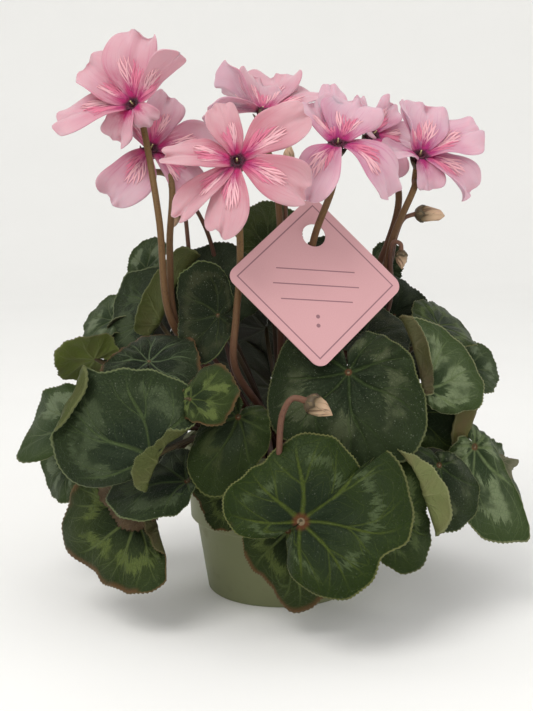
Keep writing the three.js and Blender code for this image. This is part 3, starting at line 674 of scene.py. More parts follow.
def blade_points(leaf, axes, share, angle):
    """Points of a blade in its own axes, from the share of the way out and the angle from the tip."""
    reach, seed = leaf.reach, leaf.seed
    outline = traced_reach(leaf, axes, angle) if leaf.name in OUTLINES else grown_reach(leaf, angle)
    from_slit = np.pi - leaf.sinus - np.abs(angle)
    outline = outline * (1 - leaf.lobe_round * np.exp(-(from_slit / 0.24) ** 2))
    saw = (angle / (2 * np.pi) * tooth_count(leaf)) % 1
    saw = np.where(saw < 0.62, saw / 0.62, (1 - saw) / 0.38)
    edge = np.clip((share - 0.95) / 0.05, 0, 1)
    outline = outline + leaf.teeth * (saw - 0.5) * edge + 0.3 * np.sin(17 * angle + 2 * seed) * share
    x, y = share * outline * np.cos(angle), share * outline * np.sin(angle)

    def wave(size, power, count, shift):
        """A height that swings so many times round the blade and grows towards its edge."""
        return size * reach * share ** power * np.sin(count * angle + shift * seed)

    turn_down = np.clip((share - 0.72) / 0.28, 0, 1) ** 2 * (0.5 + 0.5 * np.sin(2 * angle + 1.7 * seed))
    belly = leaf.belly * reach * (np.sin(np.pi * np.clip(share * 1.05, 0, 1)) ** 2)
    ripple = wave(leaf.ripple, 6, 15, 1) + wave(leaf.sway, 2, 3, 2.1) + wave(0.6 * leaf.sway, 3, 5, 3.3)
    ripple = ripple - leaf.edge_roll * reach * turn_down + belly
    radius = share * outline / reach
    turns = angle / VEIN_PITCH + 0.1 * np.sin(radius * 5 + angle * 1.7)
    aside = np.abs(turns - np.round(turns)) * VEIN_PITCH * radius * reach
    groove = -leaf.quilt * np.exp(-(aside / 1.5) ** 2) * np.sin(np.pi * np.clip(share, 0, 1)) ** 0.5
    puff = leaf.quilt * 0.6 * np.sin(radius * reach / 3.1 - aside * 0.4 + seed) * np.clip(aside / 4, 0, 1)
    height = wave(0.04, 3, 4, 0) + ripple + groove + puff * (1 - share ** 8)
    flat = np.column_stack([x / reach, y / reach])
    side = np.radians(np.where(y > 0, leaf.left, leaf.right)) / reach
    end = np.radians(np.where(x > 0, leaf.tip_curl, leaf.base_curl)) / reach
    for places, radius, limit in FOLDS.get(leaf.name, ()):
        line = [on_blade(leaf, axes, *place) for place in places]
        x, y, height = fold_over(x, y, height, line, radius, limit)
    across, height = bent(y, height, side)
    along, lift = bent(x, height, end)
    return np.column_stack([along, across, lift]), flat


def add_blade(piece, leaf):
    segments = 3 * tooth_count(leaf)
    rings = FOLDED_RINGS if leaf.name in FOLDS else LEAF_RINGS
    angles = np.linspace(-1, 1, segments + 1) * (np.pi - leaf.sinus)
    share = np.concatenate([[0.0], np.repeat(rings, segments + 1)])
    angle = np.concatenate([[0.0], np.tile(angles, len(rings))])
    axes = frame_of(leaf.face, leaf.tip)
    local, flat = blade_points(leaf, axes, share, angle)
    faces = [[0, i, i + 1] for i in range(1, segments + 1)] + grid_faces(len(rings), segments + 1, 1)
    grown = np.column_stack([share, np.full(len(share), leaf.seed)])
    add_sheet(piece, local @ axes.T + np.array(leaf.at, float), faces, BLADE_THICKNESS, LEAF_SKINS[leaf.look],
              UNDER_SKINS[leaf.under], flat, grown)


def make_leaf(leaf):
    piece = Piece()
    add_blade(piece, leaf)
    if leaf.name in SCRAPS:
        add_blade(piece, SCRAPS[leaf.name])
    at = np.array(leaf.at, float)
    root = crown_place(leaf.root)
    lean = np.array([root[0], root[1], 0]) * PETIOLE_LEAN
    start = root - UP * ROOT_DEPTH - lean * ROOT_DEPTH
    above = root + (lean + UP) * leaf.rise
    end = at + unit(leaf.face) * PETIOLE_END
    path = curve_bezier(start, above, at + leaf.behind, end, PETIOLE_STEPS)
    add_tube(piece, path, between(PETIOLE_RADII, PETIOLE_STEPS), 10, PETIOLE_SKIN, leaf.seed)
    piece.build("leafy_" + leaf.name, "leaf_" + leaf.name, "leaf")


# Looks of the upper sides: dark, green, pale band, vein and rim in thousandths, and what else differs
LEAF_LOOKS = {
    "marbled": ((6, 12, 5), (17, 28, 5), (72, 96, 36), (56, 80, 18), (110, 110, 45),
                dict(band=(0.54, 0.74), gaps=0.4)),
    "broad": ((4.3, 8.8, 4.5), (10.5, 19.5, 2), (54, 73, 32), (50, 68, 10), (110, 115, 40),
              dict(band=(0.6, 0.74), gaps=0.39, heart=0.1, marbling=0.9, veining=0.85)),
    "deep": ((4.5, 8, 4), (11, 18, 6), (62, 72, 38), (30, 46, 14), (100, 110, 45),
             dict(marbling=0.85, veining=0.65, gaps=0.45, dust=0.7)),
    # painted shade: a darkened copy of the leaf look, for leaves that sit in shade
    "dusk": ((4.5, 7, 4), (9, 13, 6), (32, 34, 18), (26, 34, 12), (100, 120, 45),
             dict(band=(0.62, 0.86), gaps=0.44, dust=0.8)),
    "glossy": ((4.5, 7.5, 3.5), (10, 17.5, 2.5), (38, 46, 16), (28, 40, 10), (90, 100, 30),
               dict(band=(0.45, 0.7), marbling=0.6, gaps=0.46, dust=0.4)),
    "veined": ((3.5, 6.5, 4), (8, 13, 5), (38, 48, 27), (72, 98, 50), (85, 45, 20),
               dict(band=(0.5, 0.72), marbling=0.6, veining=1.0, brown=0.42, dust=0.6)),
    "marked": ((8, 14, 5), (15, 24, 5), (98, 126, 36), (72, 96, 28), (100, 65, 30),
               dict(band=(0.42, 0.74), gaps=0.42, star=0.09, brown=0.42)),
    # painted light: a brightened copy of the leaf look, for leaves that catch the light
    "lit": ((16, 27, 11), (30, 47, 14), (150, 185, 100), (105, 138, 60), (170, 180, 90),
            dict(band=(0.32, 0.78), gaps=0.43, veining=0.9)),
    "withered": ((45, 26, 15), (105, 66, 40), (120, 85, 50), (150, 110, 70), (45, 22, 12),
                 dict(marbling=0.4)),
    "fading": ((100, 105, 60), (170, 160, 100), (220, 200, 140), (240, 220, 150), (130, 90, 60),
               dict(marbling=0.4)),
    # painted shade: a near-black copy of the leaf look, for leaves deep in the plant where shade falls
    "shade": ((3, 5, 3), (6, 9, 4), (18, 22, 12), (12, 18, 7), (30, 30, 15), dict(marbling=0.7, veining=0.5)),
    "smooth": ((5.2, 9.5, 6), (10.5, 17, 6), (50, 66, 34), (44, 64, 22), (110, 130, 60),
               dict(marbling=0.75, veining=0.8, gaps=0.45, dust=0.5)),
    "bright": ((7, 12, 4), (13.5, 21, 5), (76, 98, 26), (74, 96, 30), (100, 65, 30),
               dict(band=(0.5, 0.72), gaps=0.42, veining=0.9, brown=0.42)),
    "silver": ((13, 24, 9), (25, 40, 11), (125, 155, 92), (85, 108, 52), (130, 140, 70),
               dict(band=(0.42, 0.8), gaps=0.47)),
    "olive": ((11, 16, 4), (22, 30, 6), (45, 55, 20), (45, 55, 20), (100, 90, 40), dict(marbling=0.4)),
}
LEAF_SKINS = {title: leaf_material(title, *colours, **other)
              for title, (*colours, other) in LEAF_LOOKS.items()}
# Looks of the undersides: base, flush and vein in thousandths
LEAF_UNDERSIDES = {
    # painted shade: the usual underside, a dark olive darkened further so that the gaps between leaves read
    # shaded
    "dim": ((15, 19, 6), (21, 16, 9), (36, 40, 15)),
    "olive": ((46, 58, 8), (55, 58, 12), (90, 100, 30)),
    "brown": ((55, 55, 16), (75, 48, 22), (90, 80, 30)),
    "rust": ((85, 80, 17), (100, 72, 22), (120, 110, 40)),
    "bright": ((98, 128, 18), (110, 125, 30), (150, 170, 60)),
    "pale": ((125, 145, 45), (140, 140, 50), (180, 190, 80)),
}
UNDER_SKINS = {title: leaf_under_material(title, *colours)
               for title, colours in LEAF_UNDERSIDES.items()}
PETIOLE_SKIN = stem_material("petiole_skin", (35, 14, 11), (60, 45, 20), (30, 12, 10))

# Outlines of the blades that show in front, as (x, z) points of a front view
OUTLINES = {
    "front_low": [
        (14, 113), (24, 111), (30, 107), (34, 103), (40, 97), (44, 100), (48, 105), (53, 107), (59, 103),
        (62, 96), (64, 89), (65, 80), (64, 70), (62, 63), (59, 60), (53, 57), (49, 54), (46, 48), (43, 43),
        (38, 39), (30, 36), (22, 36), (14, 39), (7, 43), (2, 50), (1, 57), (-10, 60), (-18, 62), (-24, 65),
        (-28, 71), (-30, 78), (-30, 82), (-26, 87), (-21, 91), (-16, 95), (-10, 98), (-6, 102), (-1, 106),
        (6, 111)],
    "front_under": [
        (-20, 54), (-19, 46), (-16, 40), (-10, 35), (-5, 30), (-2, 24), (4, 18), (9, 17), (15, 19), (21, 25),
        (35, 32), (43, 44), (40, 58), (25, 73), (4, 75), (-12, 71)],
    "front_shade": [
        (-48, 76), (-44, 68), (-41, 61), (-37, 56), (-30, 55), (-23, 56), (-19, 63), (-19, 70), (-25, 79),
        (-35, 82)],
    "front_right": [
        (58, 92), (67, 92), (73, 84), (74, 74), (75, 67), (77, 61), (78, 53), (77, 47), (75, 42), (70, 38),
        (64, 37), (57, 40), (52, 44), (49, 52), (48, 64), (51, 76)],
    "left_front": [
        (-102, 138), (-95, 137), (-88, 138), (-81, 140), (-76, 140), (-68, 140), (-60, 139), (-52, 137),
        (-48, 135), (-47, 130), (-48, 124), (-50, 118), (-51, 111), (-51, 104), (-51, 97), (-52, 90),
        (-57, 84), (-64, 81), (-70, 81), (-77, 84), (-88, 84), (-95, 83), (-102, 83), (-109, 85), (-114, 90),
        (-116, 96), (-117, 103), (-117, 112), (-115, 121), (-111, 131)],
    "left_fold": [
        (-92, 78), (-89, 82), (-79, 85), (-69, 88), (-60, 94), (-50, 95), (-43, 93), (-41, 82), (-52, 75),
        (-59, 72), (-67, 70), (-74, 69), (-82, 70), (-89, 74)],
    "withered_edge": [
        (-98, 80), (-98, 75), (-96, 70), (-93, 66), (-90, 63), (-87, 59), (-83, 57), (-78, 56), (-73, 58),
        (-70, 61), (-67, 62), (-64, 64), (-60, 66), (-56, 68), (-52, 70), (-48, 73), (-49, 77), (-56, 77),
        (-64, 76), (-74, 77), (-85, 80), (-92, 82)],
    "pale_lobe": [
        (115, 87), (119, 85), (123, 84), (127, 82), (130, 81), (135, 80), (134, 77), (131, 75), (130, 70),
        (127, 71), (123, 74), (119, 78), (115, 82)],
    "left_low": [
        (-97, 78), (-107, 77), (-112, 71), (-116, 65), (-119, 59), (-122, 53), (-122, 47), (-119, 42),
        (-113, 38), (-106, 36), (-100, 33), (-96, 29), (-90, 27), (-83, 26), (-78, 24), (-71, 25), (-64, 27),
        (-59, 31), (-58, 36), (-60, 42), (-57, 48), (-56, 54), (-55, 61), (-56, 71), (-64, 77), (-81, 79)],
    "left_far": [
        (-136, 117), (-139, 112), (-143, 105), (-146, 97), (-148, 88), (-149, 83), (-145, 80), (-137, 81),
        (-130, 83), (-123, 88), (-113, 92), (-105, 98), (-101, 106), (-105, 119), (-120, 122), (-130, 119)],
    "right_front": [
        (60, 101), (56, 90), (57, 79), (62, 69), (71, 60), (84, 56), (90, 56), (96, 58), (100, 61), (103, 66),
        (104, 72), (104, 78), (101, 84), (97, 90), (91, 94), (83, 97), (72, 100)],
    "right_low": [
        (103, 108), (109, 102), (115, 96), (120, 89), (123, 80), (127, 72), (131, 64), (133, 58), (136, 50),
        (136, 43), (128, 43), (118, 44), (110, 46), (105, 50), (98, 57), (93, 67), (91, 80), (92, 92),
        (96, 102)],
    "middle_left": [
        (-36, 119), (-42, 113), (-45, 106), (-48, 100), (-49, 94), (-47, 88), (-42, 83), (-37, 81), (-33, 81),
        (-28, 83), (-23, 86), (-18, 91), (-12, 97), (-7, 104), (-6, 114), (-10, 123), (-19, 127), (-28, 126)],
    "middle_marked": [
        (-50, 120), (-51, 129), (-47, 136), (-42, 141), (-34, 144), (-29, 143), (-25, 138), (-22, 133),
        (-23, 129), (-25, 125), (-27, 122), (-30, 118), (-34, 116), (-40, 116), (-45, 116)],
    "middle_centre": [
        (64, 148), (68, 145), (70, 139), (72, 132), (74, 125), (74, 116), (72, 108), (69, 102), (62, 97),
        (55, 95), (48, 93), (41, 92), (34, 93), (28, 98), (20, 101), (9, 102), (-1, 106), (-7, 113),
        (-10, 123), (-9, 135), (-3, 146), (6, 155), (21, 160), (36, 160), (52, 156)],
    "middle_right": [
        (64, 164), (61, 155), (61, 147), (63, 140), (64, 132), (68, 124), (74, 119), (81, 117), (87, 115),
        (92, 114), (98, 115), (104, 115), (107, 118), (109, 123), (109, 129), (107, 135), (104, 141),
        (100, 148), (94, 153), (89, 159), (80, 163), (72, 165)],
    "middle_under": [
        (64, 117), (66, 104), (71, 90), (79, 92), (87, 91), (98, 87), (109, 86), (116, 92), (119, 102),
        (117, 113), (105, 120), (88, 124), (74, 123)],
    "side_left": [
        (-95, 134), (-94, 139), (-89, 144), (-82, 149), (-73, 156), (-61, 158), (-49, 152), (-43, 142),
        (-43, 134), (-49, 129), (-61, 130), (-76, 133), (-88, 133)],
    "upper_left": [
        (-42, 193), (-48, 190), (-53, 186), (-56, 179), (-57, 170), (-57, 161), (-56, 152), (-52, 146),
        (-47, 142), (-40, 139), (-34, 141), (-30, 146), (-27, 153), (-25, 163), (-25, 172), (-27, 181),
        (-30, 188), (-36, 192)],
    "upper_left_broad": [
        (-90, 179), (-94, 171), (-97, 161), (-98, 151), (-99, 142), (-97, 138), (-89, 134), (-76, 133),
        (-64, 141), (-56, 152), (-50, 163), (-46, 174), (-43, 186), (-44, 193), (-51, 196), (-61, 195),
        (-73, 188), (-81, 184)],
}

# Edges that are folded over: two (x, z) points of each fold in a front view, its radius, and how far it turns
FOLDS = {
    "left_front": [(((-100, 136), (-116, 103)), 1.8, 170), (((-53, 113), (-67, 85)), 1.8, 165)],
    "right_front": [(((60, 98), (83, 55)), 2.2, 165)],
    "middle_right": [(((66, 160), (75, 122)), 1.8, 165)],
    "left_low": [(((-64, 58), (-59, 36)), 1.3, 150)],
    "middle_under": [(((107, 113), (101, 90)), 2.5, 165)],
    "upper_left_broad": [(((-52, 189), (-74, 140)), 2.8, 150)],
}

# Withered and fading blades beside others, without a stalk of their own
SCRAPS = {
    "right_low": blade("pale_lobe", (124, -26, 80), (1, 0, -0.4), (0.3, -0.9, 0.3), 11, look="fading",
                       under="pale", seed=5, teeth=0.6, quilt=0.3, sinus=0.02, lobe_round=0.1),
    "left_fold": blade("withered_edge", (-72, -77, 70), (-1, 0, -0.5), (-0.2, -0.9, 0.3), 22,
                       look="withered", under="rust", seed=3, teeth=1.6, ripple=0.08, edge_roll=0.1,
                       sinus=0.02, lobe_round=0.1),
}

# All leaves, from the front to the back
LEAVES = [
    blade("front_low", (9, -114, 71), (0.72, 0, 0.69), (-0.05, -0.93, 0.32), 54, (4, 1), (0, 26, 14), "broad",
          sinus=0.16, lobe_round=0.3),
    blade("front_under", (3, -86, 58), (0.1, 0, -1), (0, -0.95, 0.3), 45, (4, 0), (0, 8, 33), "bright"),
    blade("front_shade", (-25, -70, 71), (-0.6, 0, -0.8), (-0.1, -0.9, 0.4), 26, (4, 20), (0, 14, 24),
          "bright", rise=34),
    blade("front_right", (54, -86, 68), (0.22, 0, -1), (0.2, -0.9, 0.3), 33, (4, 2), (-8, 16, 20),
          breadth=0.6),
    blade("left_front", (-66, -97, 99), (0.39, 0, 0.92), (-0.35, -0.85, 0.4), 48, (3, 16), (12, 24, 2),
          "smooth", sinus=0.2, under="olive"),
    blade("left_fold", (-49, -82, 83), (-1, -0.1, -0.05), (-0.1, -0.5, 0.85), 41, (4, 19), (12, 14, 6),
          "smooth", breadth=0.62),
    blade("left_low", (-77, -72, 60), (-0.85, 0, -0.45), (-0.25, -0.85, 0.4), 44, (4, 17), (14, 18, 30),
          "bright", rise=34, under="brown"),
    blade("left_far", (-113, -31, 102), (-1, 0, -0.15), (-0.4, -0.8, 0.5), 38, (4, 16), (18, 12, 2), "silver",
          breadth=0.8),
    blade("left_back", (-118, -10, 77), (-0.7, 0, -0.5), (-0.5, -0.7, 0.45), 27, (4, 15), (18, 6, 8),
          "silver"),
    blade("right_front", (82, -75, 90), (0.1, 0, -1), (0.4, -0.85, 0.3), 40, (4, 3), (-10, 14, -2), "deep",
          under="pale"),
    blade("right_low", (105, -46, 93), (0.6, 0, -0.8), (0.3, -0.88, 0.35), 52, (4, 4), (-16, 12, 10), "lit",
          left=4, right=4, tip_curl=-4),
    blade("right_far", (125, -4, 71), (0.3, 0, -0.95), (0.85, -0.4, 0.4), 42, (4, 5), (-18, 2, 8), "silver",
          breadth=0.6, cut=0.62),
    blade("middle_left", (-22.5, -82, 117), (-0.36, 0, -0.93), (-0.1, -0.85, 0.5), 40, (3, 17), (0, 22, 2),
          "glossy", left=0),
    blade("middle_marked", (-47, -86, 127), (1, 0, -0.15), (-0.2, -0.8, 0.5), 25, (2, 11), (-30, 16, 2),
          "marked"),
    blade("middle_centre", (35, -63, 137), (0.15, 0, -1), (-0.1, -0.85, 0.5), 49, (3, 1), (0, 22, 0), "deep",
          right=-20, sway=0.055, quilt=0.95),
    blade("middle_under", (70, -39, 108), (0.2, 0, -1), (0.15, -0.9, 0.3), 24, (3, 3), (-8, 18, 0),
          under="rust"),
    blade("middle_right", (77, -57, 127), (0.5, 0, 0.9), (0.3, -0.85, 0.4), 42, (3, 2), (-6, 18, 2), "lit",
          under="brown"),
    blade("side_left", (-70, -58, 142), (0, 0.8, 0.6), (0, -0.6, 0.8), 25, (3, 15), (4, 10, -16), "veined"),
    blade("side_left_turned", (-105, -12, 136), (-0.9, -0.2, 0.25), (-0.2, 0.75, 0.6), 24, (3, 13),
          (14, 4, -10), "olive", under="bright"),
    blade("side_right", (108, 0, 130), (0.9, 0, -0.1), (0.3, -0.7, 0.6), 22, (3, 4), (-12, 6, -12), "silver"),
    blade("upper_front", (45, -37, 153), (0.6, 0.2, 0.1), (0.1, -0.6, 0.8), 28, (2, 1), (-4, 8, -16), "dusk"),
    blade("upper_right", (89, -12, 155), (0.7, 0.3, 0.2), (0.4, -0.4, 0.8), 26, (2, 2), (-8, 6, -16)),
    blade("upper_right_back", (66, 9, 158), (0.3, 0, 0.9), (0.3, -0.9, 0.2), 24, (3, 6), (-4, 8, -16),
          "shade"),
    blade("upper_rolled", (62, 24, 183), (0.2, 0, 1), (0.1, -0.9, 0.2), 18, (3, 7), (0, 4, -18), "deep",
          breadth=0.6, left=60, right=60),
    blade("upper_behind_tag", (28, 14, 172), (0, 0, 1), (0.1, -0.9, 0.3), 33, (2, 5), (0, 6, -18), "shade",
          breadth=0.8),
    blade("upper_left", (-34, -46, 165), (-1, 0, -0.1), (-0.25, -0.93, 0.25), 27, (1, 5), (4, 10, -14),
          "dusk", left=24, right=24),
    blade("upper_left_broad", (-69, -3, 156), (-0.3, 0, 1), (-0.55, -0.7, 0.4), 33, (3, 14), (6, 8, -14),
          "smooth", under="olive"),
    blade("upper_left_low", (-98, 20, 154), (-0.8, 0, 0.4), (-0.4, -0.6, 0.7), 23, (2, 9), (10, 4, -14),
          "silver"),
    blade("upper_left_back", (-79, 28, 183), (-0.1, 0, 1), (-0.5, -0.7, 0.4), 22, (2, 8), (8, 4, -16),
          "silver", breadth=0.7),
    blade("upper_back", (-38, 8, 172), (0.1, 0, 1), (-0.2, -0.9, 0.4), 31, (2, 7), (4, 4, -16), "shade",
          breadth=1.05, cut=0.2),
    blade("top", (-6, 26, 196), (0, 0, 1), (0.2, -0.9, 0.2), 30, (2, 6), (0, 4, -18), "olive", breadth=0.75,
          under="olive"),
    blade("back_low_right", (88, 62, 84), (0.6, 0.5, -0.7), (0.7, 0.6, 0.4), 46, (4, 7), (-14, -12, 10)),
    blade("back_low", (-4, 100, 99), (0.1, 0.4, -0.9), (0.1, 0.85, 0.45), 50, (4, 10), (0, -18, 12),
          breadth=1.05, cut=0.1),
    blade("back_low_left", (-78, 66, 84), (-0.6, 0.5, -0.7), (-0.6, 0.65, 0.45), 46, (4, 13), (14, -12, 10),
          "bright"),
    blade("back_right", (62, 56, 138), (0.5, 0.6, -0.5), (0.5, 0.6, 0.7), 40, (3, 8), (-6, -8, -12),
          "smooth"),
    blade("back_middle", (-8, 74, 142), (-0.1, 0.8, -0.5), (-0.05, 0.7, 0.7), 47, (3, 9), (0, -10, -12),
          sinus=0.01),
    blade("back_left", (-68, 44, 141), (-0.6, 0.6, -0.5), (-0.5, 0.5, 0.7), 46, (3, 11), (6, -8, -12),
          "silver", breadth=1.0, cut=0.08),
]
for number, leaf in enumerate(LEAVES):
    leaf.seed = SEED_STEP * number
    make_leaf(leaf)


# Blooms

Petal = namedtuple("Petal", "turn length width lift droop twist", defaults=(10,))


def petal_points(petal, seed, along, across):
    """Points of a petal: narrow at the throat, broad and waved outside, with a dented tip."""
    length, width = petal.length, petal.width
    swell = np.sin(np.pi / 2 * np.minimum(1, along / 0.68)) ** 1.1
    rounding = np.sqrt(np.clip(1 - (np.maximum(along - 0.62, 0) / 0.38) ** 2.8, 0.0004, 1))
    half = width / 2 * (0.2 + 0.84 * swell) * rounding
    half = half * (1 + 0.12 * np.sin(along * 6 + seed) * np.sign(across))
    sweep = 0.07 * length * math.sin(1.7 * seed) * along ** 2 * (1.6 - along)
    side = across * rounding
    dent = (0.06 + 0.05 * math.sin(3 * seed)) * np.exp(-((side - 0.25 * math.sin(seed)) / 0.24) ** 2)
    distance = length * along * (1.03 - dent * along ** 5)
    start = math.radians(petal.lift)
    curvature = math.radians(petal.droop - petal.lift) / length
    heading = start + curvature * distance
    out = PETAL_START + (np.sin(heading) - math.sin(start)) / curvature
    up = THROAT.depth - PETAL_START - (np.cos(heading) - math.cos(start)) / curvature
    margin = 1 - (1 - across ** 4) * (1 - along ** 8)
    round_it = np.arctan2(side, along - 0.45)
    height = 0.085 * margin * np.sin(5 * round_it + 2.4 * seed) + 0.045 * margin * np.sin(9 * round_it + seed)
    height = height + 0.08 * np.sin(side * 3.4 + 1.7 * seed) * along - 0.05 * np.exp(-(side / 0.13) ** 2)
    curl = 0.05 * np.clip((along - 0.7) / 0.3, 0, 1) ** 2 * (1 + math.sin(4 * seed))
    height = height + 0.09 * side ** 2 - curl
    height = height * width * np.minimum(1, 2.2 * along) * np.minimum(1, 0.25 + rounding)
    turned = np.radians(petal.twist) * np.minimum(1, 2 * along)
    raised = across * half * np.sin(turned) + height
    points = np.column_stack([out - raised * np.sin(heading), across * half * np.cos(turned) + sweep,
                              up + raised * np.cos(heading)])
    c, s = on_circle(1, math.radians(petal.turn))
    return points @ np.array([[c, s, 0], [-s, c, 0], [0, 0, 1]])


def add_crest(piece, petal, seed, axes, base):
    """Raised strands that fan out over the middle of a petal and end in loose tips."""
    steps = np.linspace(0, 1, CREST.steps)
    for i in range(CREST.strands):
        place = 2 * i / (CREST.strands - 1) - 1
        chance = math.sin(12.9 * i + 7.7 * seed)
        along = np.linspace(0.12 + 0.04 * chance, 0.6 - 0.13 * place ** 2 + 0.08 * chance, CREST.steps)
        across = place * CREST.spread * (0.4 + 0.6 * steps) + 0.04 * np.sin(along * 18 + i * 2 + seed)
        points = petal_points(petal, seed, along, across)
        ahead = petal_points(petal, seed, along + 0.01, across)
        beside = petal_points(petal, seed, along, across + 0.02)
        normal = np.cross(ahead - points, beside - points)
        normal /= np.linalg.norm(normal, axis=1, keepdims=True)
        rise = 0.2 + 0.3 * (steps ** 3) * (1 + chance)
        path = (points + normal * rise[:, None]) @ axes.T + base
        radii = CREST.thickness * between([(0, 0.5), (0.3, 0.8), (0.75, 1.25), (1, 0.25)], CREST.steps)
        radii = radii * (1 + 0.35 * math.sin(5 * i + seed))
        add_tube(piece, path, radii, CREST.sides, CREST_SKINS[0 if chance > 0 else 1], seed)


def add_throat(piece, base, axes):
    """The lobed throat with its style and five anthers."""
    radius, depth = THROAT.radius, THROAT.depth

    def lobed(radii, heights, turns):
        wave = np.cos(5 * turns)
        return radii * (1 + 0.06 * wave), heights + np.where(heights > depth - 1, 0.4 * wave, 0)

    mouth = [(radius - 1.6, 0), (radius - 1, depth * 0.5), (radius - 1, depth - 0.6),
             (radius - 1.5, depth - 0.3), (radius - 2.2, depth - 1.2), (1.2, depth - 2.4)]
    add_turned(piece, mouth, 40, THROAT_SKIN, base, axes, 0, lobed)
    style = [(0.4, depth - 2.6), (0.4, depth), (0.3, depth + 1.4), (0.45, depth + 1.8), (0.2, depth + 2.1)]
    add_turned(piece, style, 12, STYLE_SKIN, base, axes)
    for k in range(5):
        x, y = on_circle(1, 2 * math.pi * k / 5)
        anther = frame_of(axes @ unit([-0.2 * x, -0.2 * y, 1]), axes[:, 0])
        place = base + axes @ np.array([1.3 * x, 1.3 * y, depth - 2.4])
        add_turned(piece, [(0.3, 0), (0.55, 0.8), (0.4, 2.0), (0.1, 2.6)], 8, ANTHER_SKIN, place, anther)


def add_calyx(piece, at, axes):
    """A cup with five sepals."""
    tip, notch = CALYX.tip, CALYX.notch

    def sepals(radii, heights, turns):
        share = np.clip((heights + 1) / (tip[1] + 1), 0, 1) ** 2
        wave = ((1 + np.cos(5 * turns)) / 2) ** 1.6
        edge, level = (low + (high - low) * wave for low, high in zip(notch, tip))
        return radii * (1 - share + share * edge / tip[0]), heights * (1 - share + share * level / tip[1])

    cup = [(1.9, -1), (2.6, 0.2), (3.6, 1.6), (4.8, 3.6), tip, (tip[0] - 0.3, tip[1] + 0.1),
           (4.3, 3.9), (CALYX.rim - 0.4, 2.4)]
    add_turned(piece, cup, 50, CALYX_SKIN, at, axes, at[0], sepals)


def make_bloom(name, at, face, root, via, colour, petals):
    at, face = np.array(at, float), unit(face)
    axes = frame_of(face, np.cross(UP, face))
    base = at + face * (CALYX.height + GAP)
    rows, columns = PETAL_GRID
    share = np.linspace(0, 1, rows)
    share = np.where(share > 0.6, 0.7 + 0.3 * np.sin((share - 0.6) / 0.4 * np.pi / 2), share * 0.7 / 0.6)
    grid = np.meshgrid(share, np.linspace(-1, 1, columns), indexing="ij")
    along, across = (values.ravel() for values in grid)
    piece = Piece()
    for number, values in enumerate(petals):
        petal, seed = Petal(*values), 2.3 * number + at[0] * 0.1
        points = petal_points(petal, seed, along, across) @ axes.T + base
        add_sheet(piece, points, grid_faces(rows, columns), PETAL_THICKNESS, *PETAL_SKINS[colour],
                  np.column_stack([along, across]), np.full((len(along), 2), seed))
        if petal.length > CREST.least_petal:
            add_crest(piece, petal, seed, axes, base)
    add_throat(piece, base, axes)
    piece.build("petals_" + name, "bloom_" + name, "petal")

    stem = Piece()
    neck = at - face * STEM_NECK - UP * STEM_NECK
    add_stem(stem, root, [*via, neck, at + face], between(STEM_RADII, STEM_STEPS), 16, STEM_SKIN, at[0])
    add_calyx(stem, at, axes)
    stem.build("stalk_" + name, f"bloom_{name}_stem", "stem")


PETAL_SKINS = {
    "rose": petal_pair("rose", (560, 345, 395), (490, 220, 285), (470, 120, 220), (410, 12, 130)),
    # painted shade: a darker copy of the rose pair, for the bloom that hangs in shadow
    "dusky": petal_pair("dusky", (500, 340, 390), (420, 195, 265), (420, 110, 220), (380, 12, 130)),
    "salmon": petal_pair("salmon", (540, 315, 350), (475, 200, 250), (480, 120, 200), (410, 12, 120)),
    "lilac": petal_pair("lilac", (580, 380, 445), (480, 225, 315), (440, 110, 250), (380, 12, 150)),
}
CREST_SKINS = (crest_material("crest_pale", (460, 60, 190), (780, 430, 480)),
               crest_material("crest_deep", (440, 40, 170), (660, 190, 290)))
THROAT_SKIN = plain_material("throat", (40, 3, 14), (90, 5, 30), 800, 0.5)
STYLE_SKIN = plain_material("style", (550, 500, 220), (620, 580, 300), 800, 0.5)
ANTHER_SKIN = plain_material("anthers", (50, 8, 20), (120, 30, 30), 900, 0.6)
STEM_SKIN = stem_material("stem_skin", (60, 20, 12), (158, 94, 34), (55, 20, 10))
CALYX_SKIN = plain_material("calyx", (50, 45, 20), (100, 60, 35), 500, 0.5)

